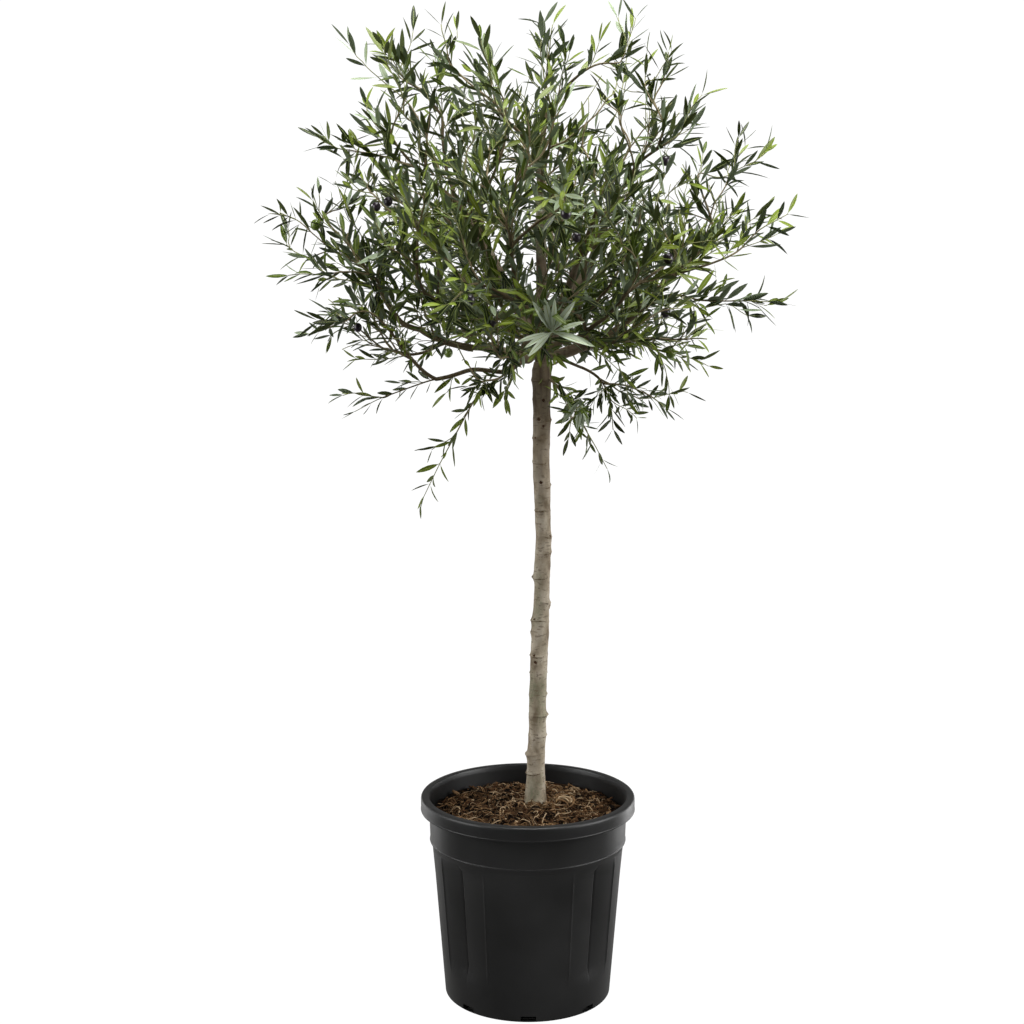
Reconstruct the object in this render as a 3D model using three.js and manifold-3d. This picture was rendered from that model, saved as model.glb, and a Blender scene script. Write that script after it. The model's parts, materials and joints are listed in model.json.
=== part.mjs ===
// Potted olive tree: a slender stem under an uneven globe of foliage, in a fluted nursery pot.
//
// Millimetres, +Z up. The origin is the centre of the pot's flat underside. The front is -Y and
// the right is +X. An azimuth turns from +X (right) towards +Y (back), in degrees.
//
// A place in the crown is told as [azimuth, reach, height]: reach is the distance from the
// upright line through the origin, and height is the distance above the underside of the pot.

import * as THREE from "three";
import { mergeVertices } from "three/addons/utils/BufferGeometryUtils.js";
import Module from "manifold-3d";

// ---- Driving dimensions ------------------------------------------------------------------------

const GAP = 0.5; // clearance kept between neighbouring solids
const SPARE = 0.12; // how far a surface may move when spare corners are dropped

const POT = {
  height: 381,
  facets: 40, // sides of the round pot
  wall: 3,
  floor: 4,
  footRadius: 155.4,
  shoulderRadius: 177.6, // top of the fluted wall
  shoulderHeight: 284,
  chamfer: 13, // height of the slope between the wall and the collar
  collarFootRadius: 182.6,
  collarTopRadius: 185,
  lipRadius: 200,
  lipDepth: 26.5, // height of the turned-down lip
  lipRound: 6.5, // rolled top edge of the lip
  mouthRadius: 184,
};

const FLUTES = {
  count: 4, // one V-shaped groove between each two broad panels
  halfAngle: 18,
  depth: 7,
  foot: 68, // the grooves run out above this height
  runOut: 10, // height over which a groove ends
};

const NOTCHES = { count: 8, width: 28, height: 12, depth: 10 };

const SOIL = { edgeHeight: 352, topHeight: 365, flatRadius: 30 };

const TRUNK = {
  foot: [14, 12],
  sway: [[0, 0, 0], [0.2, 4, 2], [0.38, 8, 0], [0.6, 14, -3], [0.75, 10, -2], [1, 11, -4]],
  forkHeight: 1196,
  footRadius: 20.5, // over the root flare
  flareHeight: 22,
  lowRadius: 17,
  waistRadius: 14.6,
  waistAt: 0.72, // share of the height where the stem is slimmest
  forkRadius: 17.5,
  sides: 12,
  steps: 12,
};

// Each bough leaves the stem near the fork and rises to its tip: start is its distance below the
// fork, radii are at its two ends, and arch lifts its middle.
const BOUGHS = [
  { name: "bough_left", start: 12, tip: [186, 190, 1236], radii: [10.5, 6.5], arch: 8 },
  { name: "bough_right", start: 6, tip: [-6, 200, 1262], radii: [11, 7], arch: -12 },
  { name: "bough_right_upper", start: -6, tip: [8, 150, 1440], radii: [12, 7], arch: -14 },
  { name: "bough_left_upper", start: -2, tip: [172, 150, 1500], radii: [11, 6.5], arch: 16 },
  { name: "bough_leader", start: -14, tip: [60, 40, 1570], radii: [12, 6.5], arch: 0 },
  { name: "bough_front", start: 0, tip: [268, 180, 1310], radii: [9.5, 6], arch: -14 },
  { name: "bough_front_right", start: -10, tip: [310, 160, 1420], radii: [9, 5.5], arch: -16 },
  { name: "bough_back", start: 4, tip: [92, 190, 1300], radii: [10, 6], arch: -12 },
  { name: "bough_back_left", start: -8, tip: [125, 160, 1430], radii: [9.5, 6], arch: -14 },
];
const BOUGH = { sides: 7, steps: 4 };

// Each billow of foliage: its centre, its half sizes outwards, sideways and upwards, and the
// turn that makes its surface its own.
const MASSES = [
  { name: "foliage_low_left", centre: [186, 222, 1262], half: [152, 148, 88], lumps: 1 },
  { name: "foliage_low_front", centre: [258, 205, 1272], half: [150, 150, 96], lumps: 2 },
  { name: "foliage_low_right", centre: [334, 214, 1262], half: [134, 146, 90], lumps: 3 },
  { name: "foliage_low_back_right", centre: [46, 214, 1270], half: [146, 152, 94], lumps: 4 },
  { name: "foliage_low_back_left", centre: [118, 216, 1266], half: [148, 148, 96], lumps: 5 },
  { name: "foliage_mid_left", centre: [178, 248, 1444], half: [142, 158, 122], lumps: 6 },
  { name: "foliage_mid_front_left", centre: [236, 236, 1452], half: [140, 150, 118], lumps: 7 },
  { name: "foliage_mid_front_right", centre: [304, 232, 1440], half: [142, 152, 120], lumps: 8 },
  { name: "foliage_mid_right", centre: [6, 238, 1448], half: [140, 158, 116], lumps: 9 },
  { name: "foliage_mid_back", centre: [92, 236, 1450], half: [144, 176, 122], lumps: 10 },
  { name: "foliage_top_left", centre: [184, 168, 1602], half: [142, 128, 104], lumps: 11 },
  { name: "foliage_top_front", centre: [270, 144, 1596], half: [130, 112, 98], lumps: 12 },
  { name: "foliage_top_right", centre: [2, 158, 1608], half: [134, 130, 108], lumps: 13 },
  { name: "foliage_under_left", centre: [222, 104, 1140], half: [86, 66, 38], lumps: 15, detail: 1 },
  { name: "foliage_under_right", centre: [344, 150, 1128], half: [98, 66, 46], lumps: 16, detail: 1 },
  { name: "foliage_top_back", centre: [94, 140, 1602], half: [132, 116, 104], lumps: 14 },
];
const MASS = { detail: 2, lumpHeight: 0.17 };

// Each spray of shoots that stands out of the billows: where it starts, where its furthest leaf
// ends, its half width, and how far its middle is lifted above the straight line.
const SPRAYS = [
  { name: "spray_left_high", root: [176, 300, 1400], tip: [176, 490, 1452], half: 44, bow: 8 },
  { name: "spray_left", root: [190, 290, 1330], tip: [188, 452, 1338], half: 40, bow: 10 },
  { name: "spray_left_low", root: [200, 250, 1262], tip: [194, 420, 1234], half: 36, bow: 10 },
  { name: "spray_left_under", root: [168, 200, 1210], tip: [172, 345, 1184], half: 32, bow: 8 },
  { name: "spray_left_hanging", root: [196, 110, 1168], tip: [190, 340, 1088], half: 40, bow: 14 },
  { name: "spray_left_weeping", root: [206, 70, 1172], tip: [202, 222, 912], half: 38, bow: 12 },
  { name: "spray_right_high", root: [-8, 290, 1380], tip: [-4, 482, 1462], half: 42, bow: -10 },
  { name: "spray_right_upper", root: [8, 290, 1480], tip: [6, 444, 1578], half: 46, bow: -8 },
  { name: "spray_right_shoulder", root: [-14, 230, 1570], tip: [-10, 322, 1670], half: 38, bow: -4 },
  { name: "spray_right_low", root: [-6, 260, 1290], tip: [-4, 474, 1292], half: 42, bow: 6 },
  { name: "spray_right_under", root: [10, 210, 1212], tip: [4, 352, 1164], half: 40, bow: 10 },
  { name: "spray_back_weeping", root: [62, 70, 1164], tip: [24, 176, 958], half: 34, bow: 14 },
  { name: "spray_top_left_outer", root: [176, 270, 1530], tip: [178, 392, 1600], half: 40, bow: -6 },
  { name: "spray_top_left", root: [170, 200, 1640], tip: [174, 264, 1766], half: 36, bow: -4 },
  { name: "spray_top_left_inner", root: [190, 130, 1650], tip: [184, 156, 1800], half: 38, bow: 0 },
  { name: "spray_top_front", root: [236, 104, 1650], tip: [226, 122, 1756], half: 34, bow: 0 },
  { name: "spray_top_middle", root: [60, 50, 1650], tip: [20, 50, 1806], half: 40, bow: 0 },
  { name: "spray_top_right", root: [-4, 150, 1660], tip: [-2, 190, 1812], half: 42, bow: 0 },
  { name: "spray_top_right_wing", root: [-8, 200, 1640], tip: [-6, 258, 1752], half: 36, bow: -4 },
  { name: "spray_front_low", root: [252, 270, 1290], tip: [250, 440, 1300], half: 40, bow: 8 },
  { name: "spray_front", root: [280, 270, 1440], tip: [276, 462, 1492], half: 42, bow: -4 },
  { name: "spray_front_right", root: [318, 270, 1380], tip: [316, 450, 1396], half: 40, bow: 8 },
  { name: "spray_back", root: [84, 270, 1450], tip: [82, 474, 1480], half: 42, bow: -4 },
  { name: "spray_back_low", root: [108, 270, 1290], tip: [106, 448, 1270], half: 40, bow: 10 },
  { name: "spray_back_left", root: [140, 290, 1470], tip: [138, 452, 1532], half: 40, bow: -6 },
  { name: "spray_back_right", root: [48, 280, 1330], tip: [46, 452, 1352], half: 40, bow: 6 },
];
const SPRAY = { sides: 6, steps: 3, rootShare: 0.45, tipShare: 0.16 };

// ---- Solids ------------------------------------------------------------------------------------

const wasm = await Module();
wasm.setup();

/** The closed solid of a geometry, with its shared corners merged and its slivers dropped. */
function solidOf(geometry) {
  const bare = geometry.clone();
  bare.deleteAttribute("normal");
  bare.deleteAttribute("uv");
  const merged = mergeVertices(bare, 1e-3);
  const corners = merged.index.array;
  const kept = [];
  for (let i = 0; i < corners.length; i += 3) {
    const [a, b, c] = [corners[i], corners[i + 1], corners[i + 2]];
    if (a !== b && b !== c && c !== a) kept.push(a, b, c);
  }
  return new wasm.Manifold(
    new wasm.Mesh({
      numProp: 3,
      vertProperties: new Float32Array(merged.attributes.position.array),
      triVerts: new Uint32Array(kept),
    }),
  );
}

/** The three.js geometry of a solid. */
function geometryOf(solid) {
  const { vertProperties, triVerts } = solid.getMesh();
  const geometry = new THREE.BufferGeometry();
  geometry.setAttribute("position", new THREE.BufferAttribute(vertProperties, 3));
  geometry.setIndex(new THREE.BufferAttribute(triVerts, 1));
  geometry.computeVertexNormals();
  return geometry;
}

/** A solid cut back from others: its largest piece, without corners that its shape can spare. */
function cutBack(solid, others) {
  const left = others.reduce((rest, other) => rest.subtract(other), solid);
  const largest = left.decompose().reduce((a, b) => (a.volume() >= b.volume() ? a : b));
  return largest.simplify(SPARE);
}

/** Move each corner of a geometry to where `place` puts it. */
function reshape(geometry, place) {
  const positions = geometry.attributes.position;
  const corner = new THREE.Vector3();
  for (let i = 0; i < positions.count; i += 1) {
    place(corner.fromBufferAttribute(positions, i));
    positions.setXYZ(i, corner.x, corner.y, corner.z);
  }
  return geometry;
}

/** The point at an azimuth, a reach and a height. */
function crownPoint([azimuth, reach, height]) {
  const angle = THREE.MathUtils.degToRad(azimuth);
  return new THREE.Vector3(reach * Math.cos(angle), reach * Math.sin(angle), height);
}

/** A closed tube along a curve: `radiusAt` gives its radius at a share of the curve's length. */
function limb(curve, radiusAt, sides, steps) {
  const side = new THREE.Vector3();
  const other = new THREE.Vector3();
  const first = curve.getTangentAt(0);
  const reference = Math.abs(first.z) > 0.8 ? new THREE.Vector3(0, 1, 0) : new THREE.Vector3(0, 0, 1);
  return reshape(new THREE.CylinderGeometry(1, 1, 1, sides, steps), (corner) => {
    const share = Math.min(Math.max(corner.y + 0.5, 0), 1);
    const along = curve.getTangentAt(share);
    side.crossVectors(along, reference).normalize();
    other.crossVectors(side, along);
    const { x, z } = corner;
    corner.copy(curve.getPointAt(share));
    corner.addScaledVector(side, x * radiusAt(share)).addScaledVector(other, z * radiusAt(share));
  });
}

// ---- Pot and soil ------------------------------------------------------------------------------

/** How far a groove is pressed in at an angle and a height. */
function grooveDepthAt(angle, height) {
  const spacing = 360 / FLUTES.count;
  const offset = Math.abs(THREE.MathUtils.euclideanModulo(angle, spacing) - spacing / 2);
  const across = Math.max(0, 1 - offset / FLUTES.halfAngle);
  const upFromFoot = (height - FLUTES.foot) / FLUTES.runOut;
  const downFromShoulder = (POT.shoulderHeight - height) / FLUTES.runOut;
  return FLUTES.depth * across * THREE.MathUtils.clamp(Math.min(upFromFoot, downFromShoulder), 0, 1);
}

/** A turned solid about +Z from [radius, height] pairs, with the grooves pressed into it. */
function turned(profile) {
  const points = profile.map(([radius, height]) => new THREE.Vector2(radius, height));
  const geometry = new THREE.LatheGeometry(points, POT.facets).rotateX(Math.PI / 2);
  return reshape(geometry, (corner) => {
    const radius = Math.hypot(corner.x, corner.y);
    if (radius < POT.footRadius - 2 * POT.wall - GAP) return;
    const angle = THREE.MathUtils.radToDeg(Math.atan2(corner.y, corner.x));
    const share = 1 - grooveDepthAt(angle, corner.z) / radius;
    corner.x *= share;
    corner.y *= share;
  });
}

/** The outer radius of the fluted wall at a height. */
function wallRadiusAt(height) {
  return THREE.MathUtils.mapLinear(height, 0, POT.shoulderHeight, POT.footRadius, POT.shoulderRadius);
}

/** Heights at which the wall bends, from the foot up. */
const WALL_HEIGHTS = [
  FLUTES.foot,
  FLUTES.foot + FLUTES.runOut,
  POT.shoulderHeight - FLUTES.runOut,
  POT.shoulderHeight,
];

/** The room inside the pot, drawn in by an inset and closed at the top by the given rows. */
function insideProfile(inset, topRows) {
  const lowest = POT.floor + inset - POT.wall;
  return [
    [0, lowest],
    [wallRadiusAt(POT.floor) - inset, lowest],
    ...WALL_HEIGHTS.map((height) => [wallRadiusAt(height) - inset, height]),
    [POT.collarFootRadius - inset, POT.shoulderHeight + POT.chamfer],
    ...topRows,
  ];
}

function potSolid() {
  const lipFoot = POT.height - POT.lipDepth;
  const underLip = POT.height - 2 * POT.wall;
  const above = POT.height + POT.wall;
  const roll = [0, 45, 90].map((degrees) => {
    const angle = THREE.MathUtils.degToRad(degrees);
    return [
      POT.lipRadius - POT.lipRound * (1 - Math.cos(angle)),
      POT.height - POT.lipRound * (1 - Math.sin(angle)),
    ];
  });
  const outside = [
    [0, 0],
    [POT.footRadius - 2, 0],
    [wallRadiusAt(2.5), 2.5],
    ...WALL_HEIGHTS.map((height) => [wallRadiusAt(height), height]),
    [POT.collarFootRadius, POT.shoulderHeight + POT.chamfer],
    [POT.collarTopRadius, underLip],
    [POT.lipRadius - POT.wall, underLip],
    [POT.lipRadius - POT.wall, lipFoot],
    [POT.lipRadius, lipFoot],
    ...roll,
    [0, POT.height],
  ];
  const inside = insideProfile(POT.wall, [
    [POT.collarTopRadius - POT.wall, underLip - POT.wall],
    [POT.mouthRadius, POT.height - POT.wall],
    [POT.mouthRadius + 2, above],
    [0, above],
  ]);
  const notches = Array.from({ length: NOTCHES.count }, (_, i) => {
    const box = new THREE.BoxGeometry(2 * NOTCHES.depth, NOTCHES.width, 2 * NOTCHES.height);
    box.translate(POT.footRadius, 0, 0).rotateZ((i * 2 * Math.PI) / NOTCHES.count);
    return solidOf(box);
  });
  return cutBack(solidOf(turned(outside)), [solidOf(turned(inside)), ...notches]);
}

function soilSolid() {
  const inset = POT.wall + GAP;
  const edgeRadius = POT.collarFootRadius - inset;
  return solidOf(turned(insideProfile(inset, [
    [edgeRadius, SOIL.edgeHeight],
    [edgeRadius * 0.62, THREE.MathUtils.lerp(SOIL.edgeHeight, SOIL.topHeight, 0.55)],
    [SOIL.flatRadius, SOIL.topHeight],
    [0, SOIL.topHeight],
  ])));
}

// ---- Stem and boughs ---------------------------------------------------------------------------

const trunkFoot = SOIL.topHeight + GAP;

const trunkCurve = new THREE.CatmullRomCurve3(
  TRUNK.sway.map(([share, right, back]) => new THREE.Vector3(
    TRUNK.foot[0] + right,
    TRUNK.foot[1] + back,
    THREE.MathUtils.lerp(trunkFoot, TRUNK.forkHeight, share),
  )),
);

/** The stem's radius: a root flare, a slow taper to the waist, and a swelling under the fork. */
function trunkRadiusAt(share) {
  const flare = Math.exp((-share * (TRUNK.forkHeight - trunkFoot)) / TRUNK.flareHeight);
  const { smoothstep, lerp } = THREE.MathUtils;
  const taper = lerp(TRUNK.lowRadius, TRUNK.waistRadius, smoothstep(share, 0, TRUNK.waistAt));
  const swelling = (TRUNK.forkRadius - TRUNK.waistRadius) * smoothstep(share, TRUNK.waistAt, 1);
  return taper + swelling + (TRUNK.footRadius - TRUNK.lowRadius) * flare;
}

/** The stem grown outwards by a clearance, and its flat foot kept level. */
function trunkSolid(clearance = 0) {
  const { sides, steps } = TRUNK;
  const round = limb(trunkCurve, (share) => trunkRadiusAt(share) + clearance, sides, steps);
  return solidOf(reshape(round, (corner) => {
    if (corner.z < trunkFoot + 5) corner.z = trunkFoot;
    if (corner.z > TRUNK.forkHeight - 5) corner.z = TRUNK.forkHeight + clearance;
  }));
}

/** A bough from the fork to its tip, tapering, grown outwards by a clearance. */
function boughSolid({ start, tip, radii, arch }, clearance = 0) {
  const share = Math.min(1, 1 - start / (TRUNK.forkHeight - trunkFoot));
  const from = trunkCurve.getPointAt(share);
  from.z = TRUNK.forkHeight - start;
  const to = crownPoint(tip);
  const middle = from.clone().lerp(to, 0.45);
  middle.z += arch;
  const curve = new THREE.QuadraticBezierCurve3(from, middle, to);
  const radiusAt = (along) => THREE.MathUtils.lerp(radii[0], radii[1], along) + clearance;
  return solidOf(limb(curve, radiusAt, BOUGH.sides, BOUGH.steps));
}

// ---- Foliage -----------------------------------------------------------------------------------

/** A billow: an uneven rounded solid, set with its long way outwards from the crown's middle. */
function massSolid({ centre, half, lumps, detail = MASS.detail }, clearance = 0) {
  const middle = crownPoint(centre);
  const azimuth = THREE.MathUtils.degToRad(centre[0]);
  const upright = new THREE.Vector3(0, 0, 1);
  return solidOf(reshape(new THREE.IcosahedronGeometry(1, detail), (corner) => {
    const { x, y, z } = corner;
    const lump = Math.sin(3.1 * x + 1.7 * lumps) * Math.cos(2.7 * y - 2.3 * lumps)
      + 0.6 * Math.sin(4.3 * z + 2.9 * lumps + 2 * x);
    const swell = 1 + MASS.lumpHeight * lump * 0.8;
    corner.set(
      x * (half[0] * swell + clearance),
      y * (half[1] * swell + clearance),
      z * (half[2] * swell + clearance),
    );
    corner.applyAxisAngle(upright, azimuth).add(middle);
  }));
}

/** A spray: a spindle that swells along its shoots and closes at its furthest leaf. */
function spraySolid({ root, tip, half, bow }, clearance = 0) {
  const from = crownPoint(root);
  const to = crownPoint(tip);
  const middle = from.clone().lerp(to, 0.5);
  middle.z += 2 * bow;
  const curve = new THREE.QuadraticBezierCurve3(from, middle, to);
  const radiusAt = (share) => {
    const ends = THREE.MathUtils.lerp(SPRAY.rootShare, SPRAY.tipShare, share);
    return half * (ends + (1 - ends) * Math.sin(Math.PI * share)) + clearance;
  };
  return solidOf(limb(curve, radiusAt, SPRAY.sides, SPRAY.steps));
}

/** Build each row with `make`, cut back from the others and from the rows before it. */
function cutInTurn(rows, make, others) {
  const taken = [...others];
  return rows.map((row) => {
    const solid = cutBack(make(row), taken);
    taken.push(make(row, GAP));
    return solid;
  });
}

// ---- Assembly ----------------------------------------------------------------------------------

const FINISHES = {
  pot: { color: 0x2c2f32, roughness: 0.5, metalness: 0 },
  soil: { color: 0x4b3424, roughness: 0.95, metalness: 0 },
  bark: { color: 0x8f8576, roughness: 0.9, metalness: 0 },
  foliage: { color: 0x54663c, roughness: 0.7, metalness: 0 },
};

function namedMesh(name, solid, finish) {
  const material = new THREE.MeshStandardMaterial(FINISHES[finish]);
  const mesh = new THREE.Mesh(geometryOf(solid), material);
  mesh.name = name;
  return mesh;
}

const trunkRoom = trunkSolid(GAP);
const massRooms = MASSES.map((row) => massSolid(row, GAP));
const boughRooms = BOUGHS.map((row) => boughSolid(row, GAP));

const massSolids = cutInTurn(MASSES, massSolid, [trunkRoom]);
const boughSolids = cutInTurn(BOUGHS, boughSolid, [trunkRoom, ...massRooms]);
const spraySolids = cutInTurn(SPRAYS, spraySolid, [trunkRoom, ...boughRooms, ...massRooms]);

const group = new THREE.Group();
group.add(namedMesh("pot", potSolid(), "pot"));
group.add(namedMesh("soil", soilSolid(), "soil"));
group.add(namedMesh("trunk", trunkSolid(), "bark"));
BOUGHS.forEach(({ name }, i) => group.add(namedMesh(name, boughSolids[i], "bark")));
MASSES.forEach(({ name }, i) => group.add(namedMesh(name, massSolids[i], "foliage")));
SPRAYS.forEach(({ name }, i) => group.add(namedMesh(name, spraySolids[i], "foliage")));

export default group;
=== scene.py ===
"""Dresses the potted olive tree: bark, twigs, leaves, fruit, potting mix and pot.

Metres, +Z up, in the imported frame: the origin is the centre of the pot's underside, the front
is -Y and the right is +X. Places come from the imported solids, and every chance is seeded.
"""

import json
import logging
import math
from collections.abc import Callable
from dataclasses import dataclass, field
from enum import Enum

import bpy
import numpy as np
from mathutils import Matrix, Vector
from mathutils.bvhtree import BVHTree

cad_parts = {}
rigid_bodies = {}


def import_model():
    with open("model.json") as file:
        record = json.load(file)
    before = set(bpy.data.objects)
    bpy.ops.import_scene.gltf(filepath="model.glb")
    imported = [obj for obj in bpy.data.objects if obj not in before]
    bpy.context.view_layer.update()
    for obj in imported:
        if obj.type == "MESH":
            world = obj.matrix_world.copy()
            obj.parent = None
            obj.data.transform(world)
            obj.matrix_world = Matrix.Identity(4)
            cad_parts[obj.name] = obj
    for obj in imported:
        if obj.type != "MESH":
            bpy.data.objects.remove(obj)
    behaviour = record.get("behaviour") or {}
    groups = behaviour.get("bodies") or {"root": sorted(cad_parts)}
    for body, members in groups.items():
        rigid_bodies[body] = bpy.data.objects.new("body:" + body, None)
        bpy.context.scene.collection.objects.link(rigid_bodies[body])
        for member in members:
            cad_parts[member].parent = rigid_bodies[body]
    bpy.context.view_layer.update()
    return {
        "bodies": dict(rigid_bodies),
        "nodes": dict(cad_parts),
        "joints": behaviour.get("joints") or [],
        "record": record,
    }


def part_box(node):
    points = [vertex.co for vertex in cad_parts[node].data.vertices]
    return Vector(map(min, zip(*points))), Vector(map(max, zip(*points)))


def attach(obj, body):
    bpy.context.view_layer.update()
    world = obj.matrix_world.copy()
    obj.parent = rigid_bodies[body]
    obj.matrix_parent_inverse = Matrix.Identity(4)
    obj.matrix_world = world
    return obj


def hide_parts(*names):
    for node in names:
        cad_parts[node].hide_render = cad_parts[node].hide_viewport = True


LOG = logging.getLogger("olive")
UP = np.array([0.0, 0.0, 1.0])
REARWARD = np.array([0.0, 1.0, 0.0])
MM = 0.001

Colour = tuple[float, float, float]


# ---- Small helpers ------------------------------------------------------------------------------


def screen(red: int, green: int, blue: int) -> Colour:
    """Turn a colour in screen values into the linear values that shaders take.

    Args:
        red: Red from 0 to 255.
        green: Green from 0 to 255.
        blue: Blue from 0 to 255.

    Returns:
        The three linear values, from 0 to 1.
    """
    shares = (value / 255 for value in (red, green, blue))
    return tuple(s / 12.92 if s <= 0.04045 else ((s + 0.055) / 1.055) ** 2.4 for s in shares)


def unit(vectors: np.ndarray) -> np.ndarray:
    """Scale each vector to length one.

    Args:
        vectors: One vector or rows of them.

    Returns:
        The unit vectors, in the same shape.
    """
    lengths = np.linalg.norm(vectors, axis=-1, keepdims=True)
    return vectors / np.maximum(lengths, 1e-12)


def smooth(share: np.ndarray | float) -> np.ndarray | float:
    """Ease a share from 0 to 1, flat at both ends.

    Args:
        share: The share, held between 0 and 1.

    Returns:
        The eased share.
    """
    held = np.clip(share, 0.0, 1.0)
    return held * held * (3 - 2 * held)


def node_mesh(node: bpy.types.Object) -> tuple[np.ndarray, np.ndarray]:
    """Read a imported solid.

    Args:
        node: The solid's object.

    Returns:
        Its corners, and its edges as pairs of corner numbers.
    """
    mesh = node.data
    corners = np.empty(len(mesh.vertices) * 3)
    mesh.vertices.foreach_get("co", corners)
    edges = np.empty(len(mesh.edges) * 2, dtype=np.int32)
    mesh.edges.foreach_get("vertices", edges)
    return corners.reshape(-1, 3), edges.reshape(-1, 2)


def curve_weights(t: np.ndarray) -> tuple[np.ndarray, np.ndarray, np.ndarray, np.ndarray]:
    """Weigh the two ends of a smooth curve and the ways it leaves and arrives.

    Args:
        t: How far along the curve the points are, from 0 to 1.

    Returns:
        The weights of the start, of the way out of it, of the end and of the way into it.
    """
    return (
        2 * t**3 - 3 * t**2 + 1,
        t**3 - 2 * t**2 + t,
        3 * t**2 - 2 * t**3,
        t**3 - t**2,
    )


def ring_quads(rings: int, around: int, flipped: bool = False) -> np.ndarray:
    """Join rings of corners that follow one another by four-sided faces.

    Args:
        rings: How many rings there are.
        around: How many corners each ring has.
        flipped: Whether the faces look the other way.

    Returns:
        Rows of four corner numbers.
    """
    ring = np.arange(around)
    after = (ring + 1) % around
    rows = (np.arange(rings - 1) * around)[:, None]
    above = rows + around
    quads = np.stack([rows + ring, rows + after, above + after, above + ring], axis=-1)
    return quads.reshape(-1, 4)[:, [0, 3, 2, 1] if flipped else [0, 1, 2, 3]]


def end_caps(rings: int, around: int, flipped: bool = False) -> np.ndarray:
    """Close both ends of a run of rings, on two middle corners that follow the rings' own.

    Args:
        rings: How many rings there are.
        around: How many corners each ring has.
        flipped: Whether the faces look the other way.

    Returns:
        Rows of three corner numbers, those on the first ring before those on the last.
    """
    ring = np.arange(around)
    after = (ring + 1) % around
    last = (rings - 1) * around
    first_middle = np.full(around, rings * around)
    caps = np.concatenate([
        np.stack([first_middle, after, ring], axis=-1),
        np.stack([first_middle + 1, last + ring, last + after], axis=-1),
    ])
    return caps[:, [0, 2, 1] if flipped else [0, 1, 2]]


class Ripple:
    """A smooth, seeded unevenness through space, made of plane waves."""

    def __init__(self, rng: np.random.Generator, wavelength: float, waves: int = 18) -> None:
        """Draw the waves.

        Args:
            rng: The source of chance.
            wavelength: The typical distance between two crests, in metres.
            waves: How many waves are summed.
        """
        directions = unit(rng.normal(size=(waves, 3)))
        lengths = wavelength * rng.uniform(0.6, 1.6, size=(waves, 1))
        self.numbers = directions * (2 * math.pi / lengths)
        self.phases = rng.uniform(0, 2 * math.pi, size=waves)

    def at(self, places: np.ndarray) -> np.ndarray:
        """Sample the unevenness.

        Args:
            places: Rows of points.

        Returns:
            One value for each point, mostly between -1 and 1.
        """
        waves = np.cos(places @ self.numbers.T + self.phases)
        return waves.sum(axis=-1) * math.sqrt(1 / len(self.phases))


class MeshBuilder:
    """Gathers corners and faces and makes them one mesh object."""

    def __init__(self) -> None:
        """Start with nothing gathered."""
        self.corners: list[np.ndarray] = []
        self.faces: list[np.ndarray] = []
        self.slots: list[np.ndarray] = []
        self.corner_count = 0

    def add(self, corners: np.ndarray, faces: np.ndarray, slots: np.ndarray | int = 0) -> None:
        """Gather a patch whose faces all have the same number of corners.

        Args:
            corners: Rows of points.
            faces: Rows of corner numbers, counted within this patch.
            slots: The material slot of each face, or of all.
        """
        self.corners.append(corners)
        self.faces.append(faces + self.corner_count)
        self.slots.append(np.broadcast_to(slots, len(faces)))
        self.corner_count += len(corners)

    def face(self, faces: np.ndarray, slots: np.ndarray | int = 0) -> None:
        """Gather more faces on the patch that was added last.

        Args:
            faces: Rows of corner numbers, counted within that patch.
            slots: The material slot of each face, or of all.
        """
        self.faces.append(faces + self.corner_count - len(self.corners[-1]))
        self.slots.append(np.broadcast_to(slots, len(faces)))

    def triangles(self) -> int:
        """Count the triangles gathered so far."""
        return sum(len(faces) * (faces.shape[1] - 2) for faces in self.faces)

    def build(self, name: str, materials: list[bpy.types.Material]) -> bpy.types.Object:
        """Make the mesh object.

        Args:
            name: The piece's name.
            materials: The materials, in the order of the slots.

        Returns:
            The object, shaded smooth and linked to the scene.
        """
        mesh = bpy.data.meshes.new(name)
        corners = np.concatenate(self.corners)
        loops = np.concatenate([faces.ravel() for faces in self.faces])
        totals = np.concatenate([np.full(len(f), f.shape[1]) for f in self.faces])
        starts = np.concatenate([[0], np.cumsum(totals)[:-1]])
        mesh.vertices.add(len(corners))
        mesh.vertices.foreach_set("co", corners.astype(np.float32).ravel())
        mesh.loops.add(len(loops))
        mesh.loops.foreach_set("vertex_index", loops.astype(np.int32))
        mesh.polygons.add(len(totals))
        mesh.polygons.foreach_set("loop_start", starts.astype(np.int32))
        for material in materials:
            mesh.materials.append(material)
        mesh.polygons.foreach_set("material_index", np.concatenate(self.slots).astype(np.int32))
        mesh.update(calc_edges=True)
        mesh.validate()
        mesh.shade_smooth()
        piece = bpy.data.objects.new(name, mesh)
        bpy.context.scene.collection.objects.link(piece)
        return piece


def settle(piece: bpy.types.Object, nodes: list[str]) -> None:
    """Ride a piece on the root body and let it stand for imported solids.

    Args:
        piece: The finished piece.
        nodes: The solids that it stands for.
    """
    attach(piece, "root")
    if nodes:
        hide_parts(*nodes)
    polygons = piece.data.polygons
    totals = np.empty(len(polygons), dtype=np.int32)
    polygons.foreach_get("loop_total", totals)
    LOG.info("%s: %d triangles", piece.name, int((totals - 2).sum()))


# ---- Tubes --------------------------------------------------------------------------------------


def frames_along(points: np.ndarray) -> tuple[np.ndarray, np.ndarray, np.ndarray]:
    """Carry a pair of side directions along a path without twisting them.

    Args:
        points: The path's points.

    Returns:
        The headings, the first sides and the second sides, one row for each point.
    """
    headings = unit(np.gradient(points, axis=0))
    side = np.cross(headings[0], UP if abs(headings[0][2]) < 0.9 else REARWARD)
    sides = np.empty_like(points)
    for i, heading in enumerate(headings):
        side = side - heading * (side @ heading)
        side /= max(np.linalg.norm(side), 1e-9)
        sides[i] = side
    return headings, sides, np.cross(headings, sides)


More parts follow.
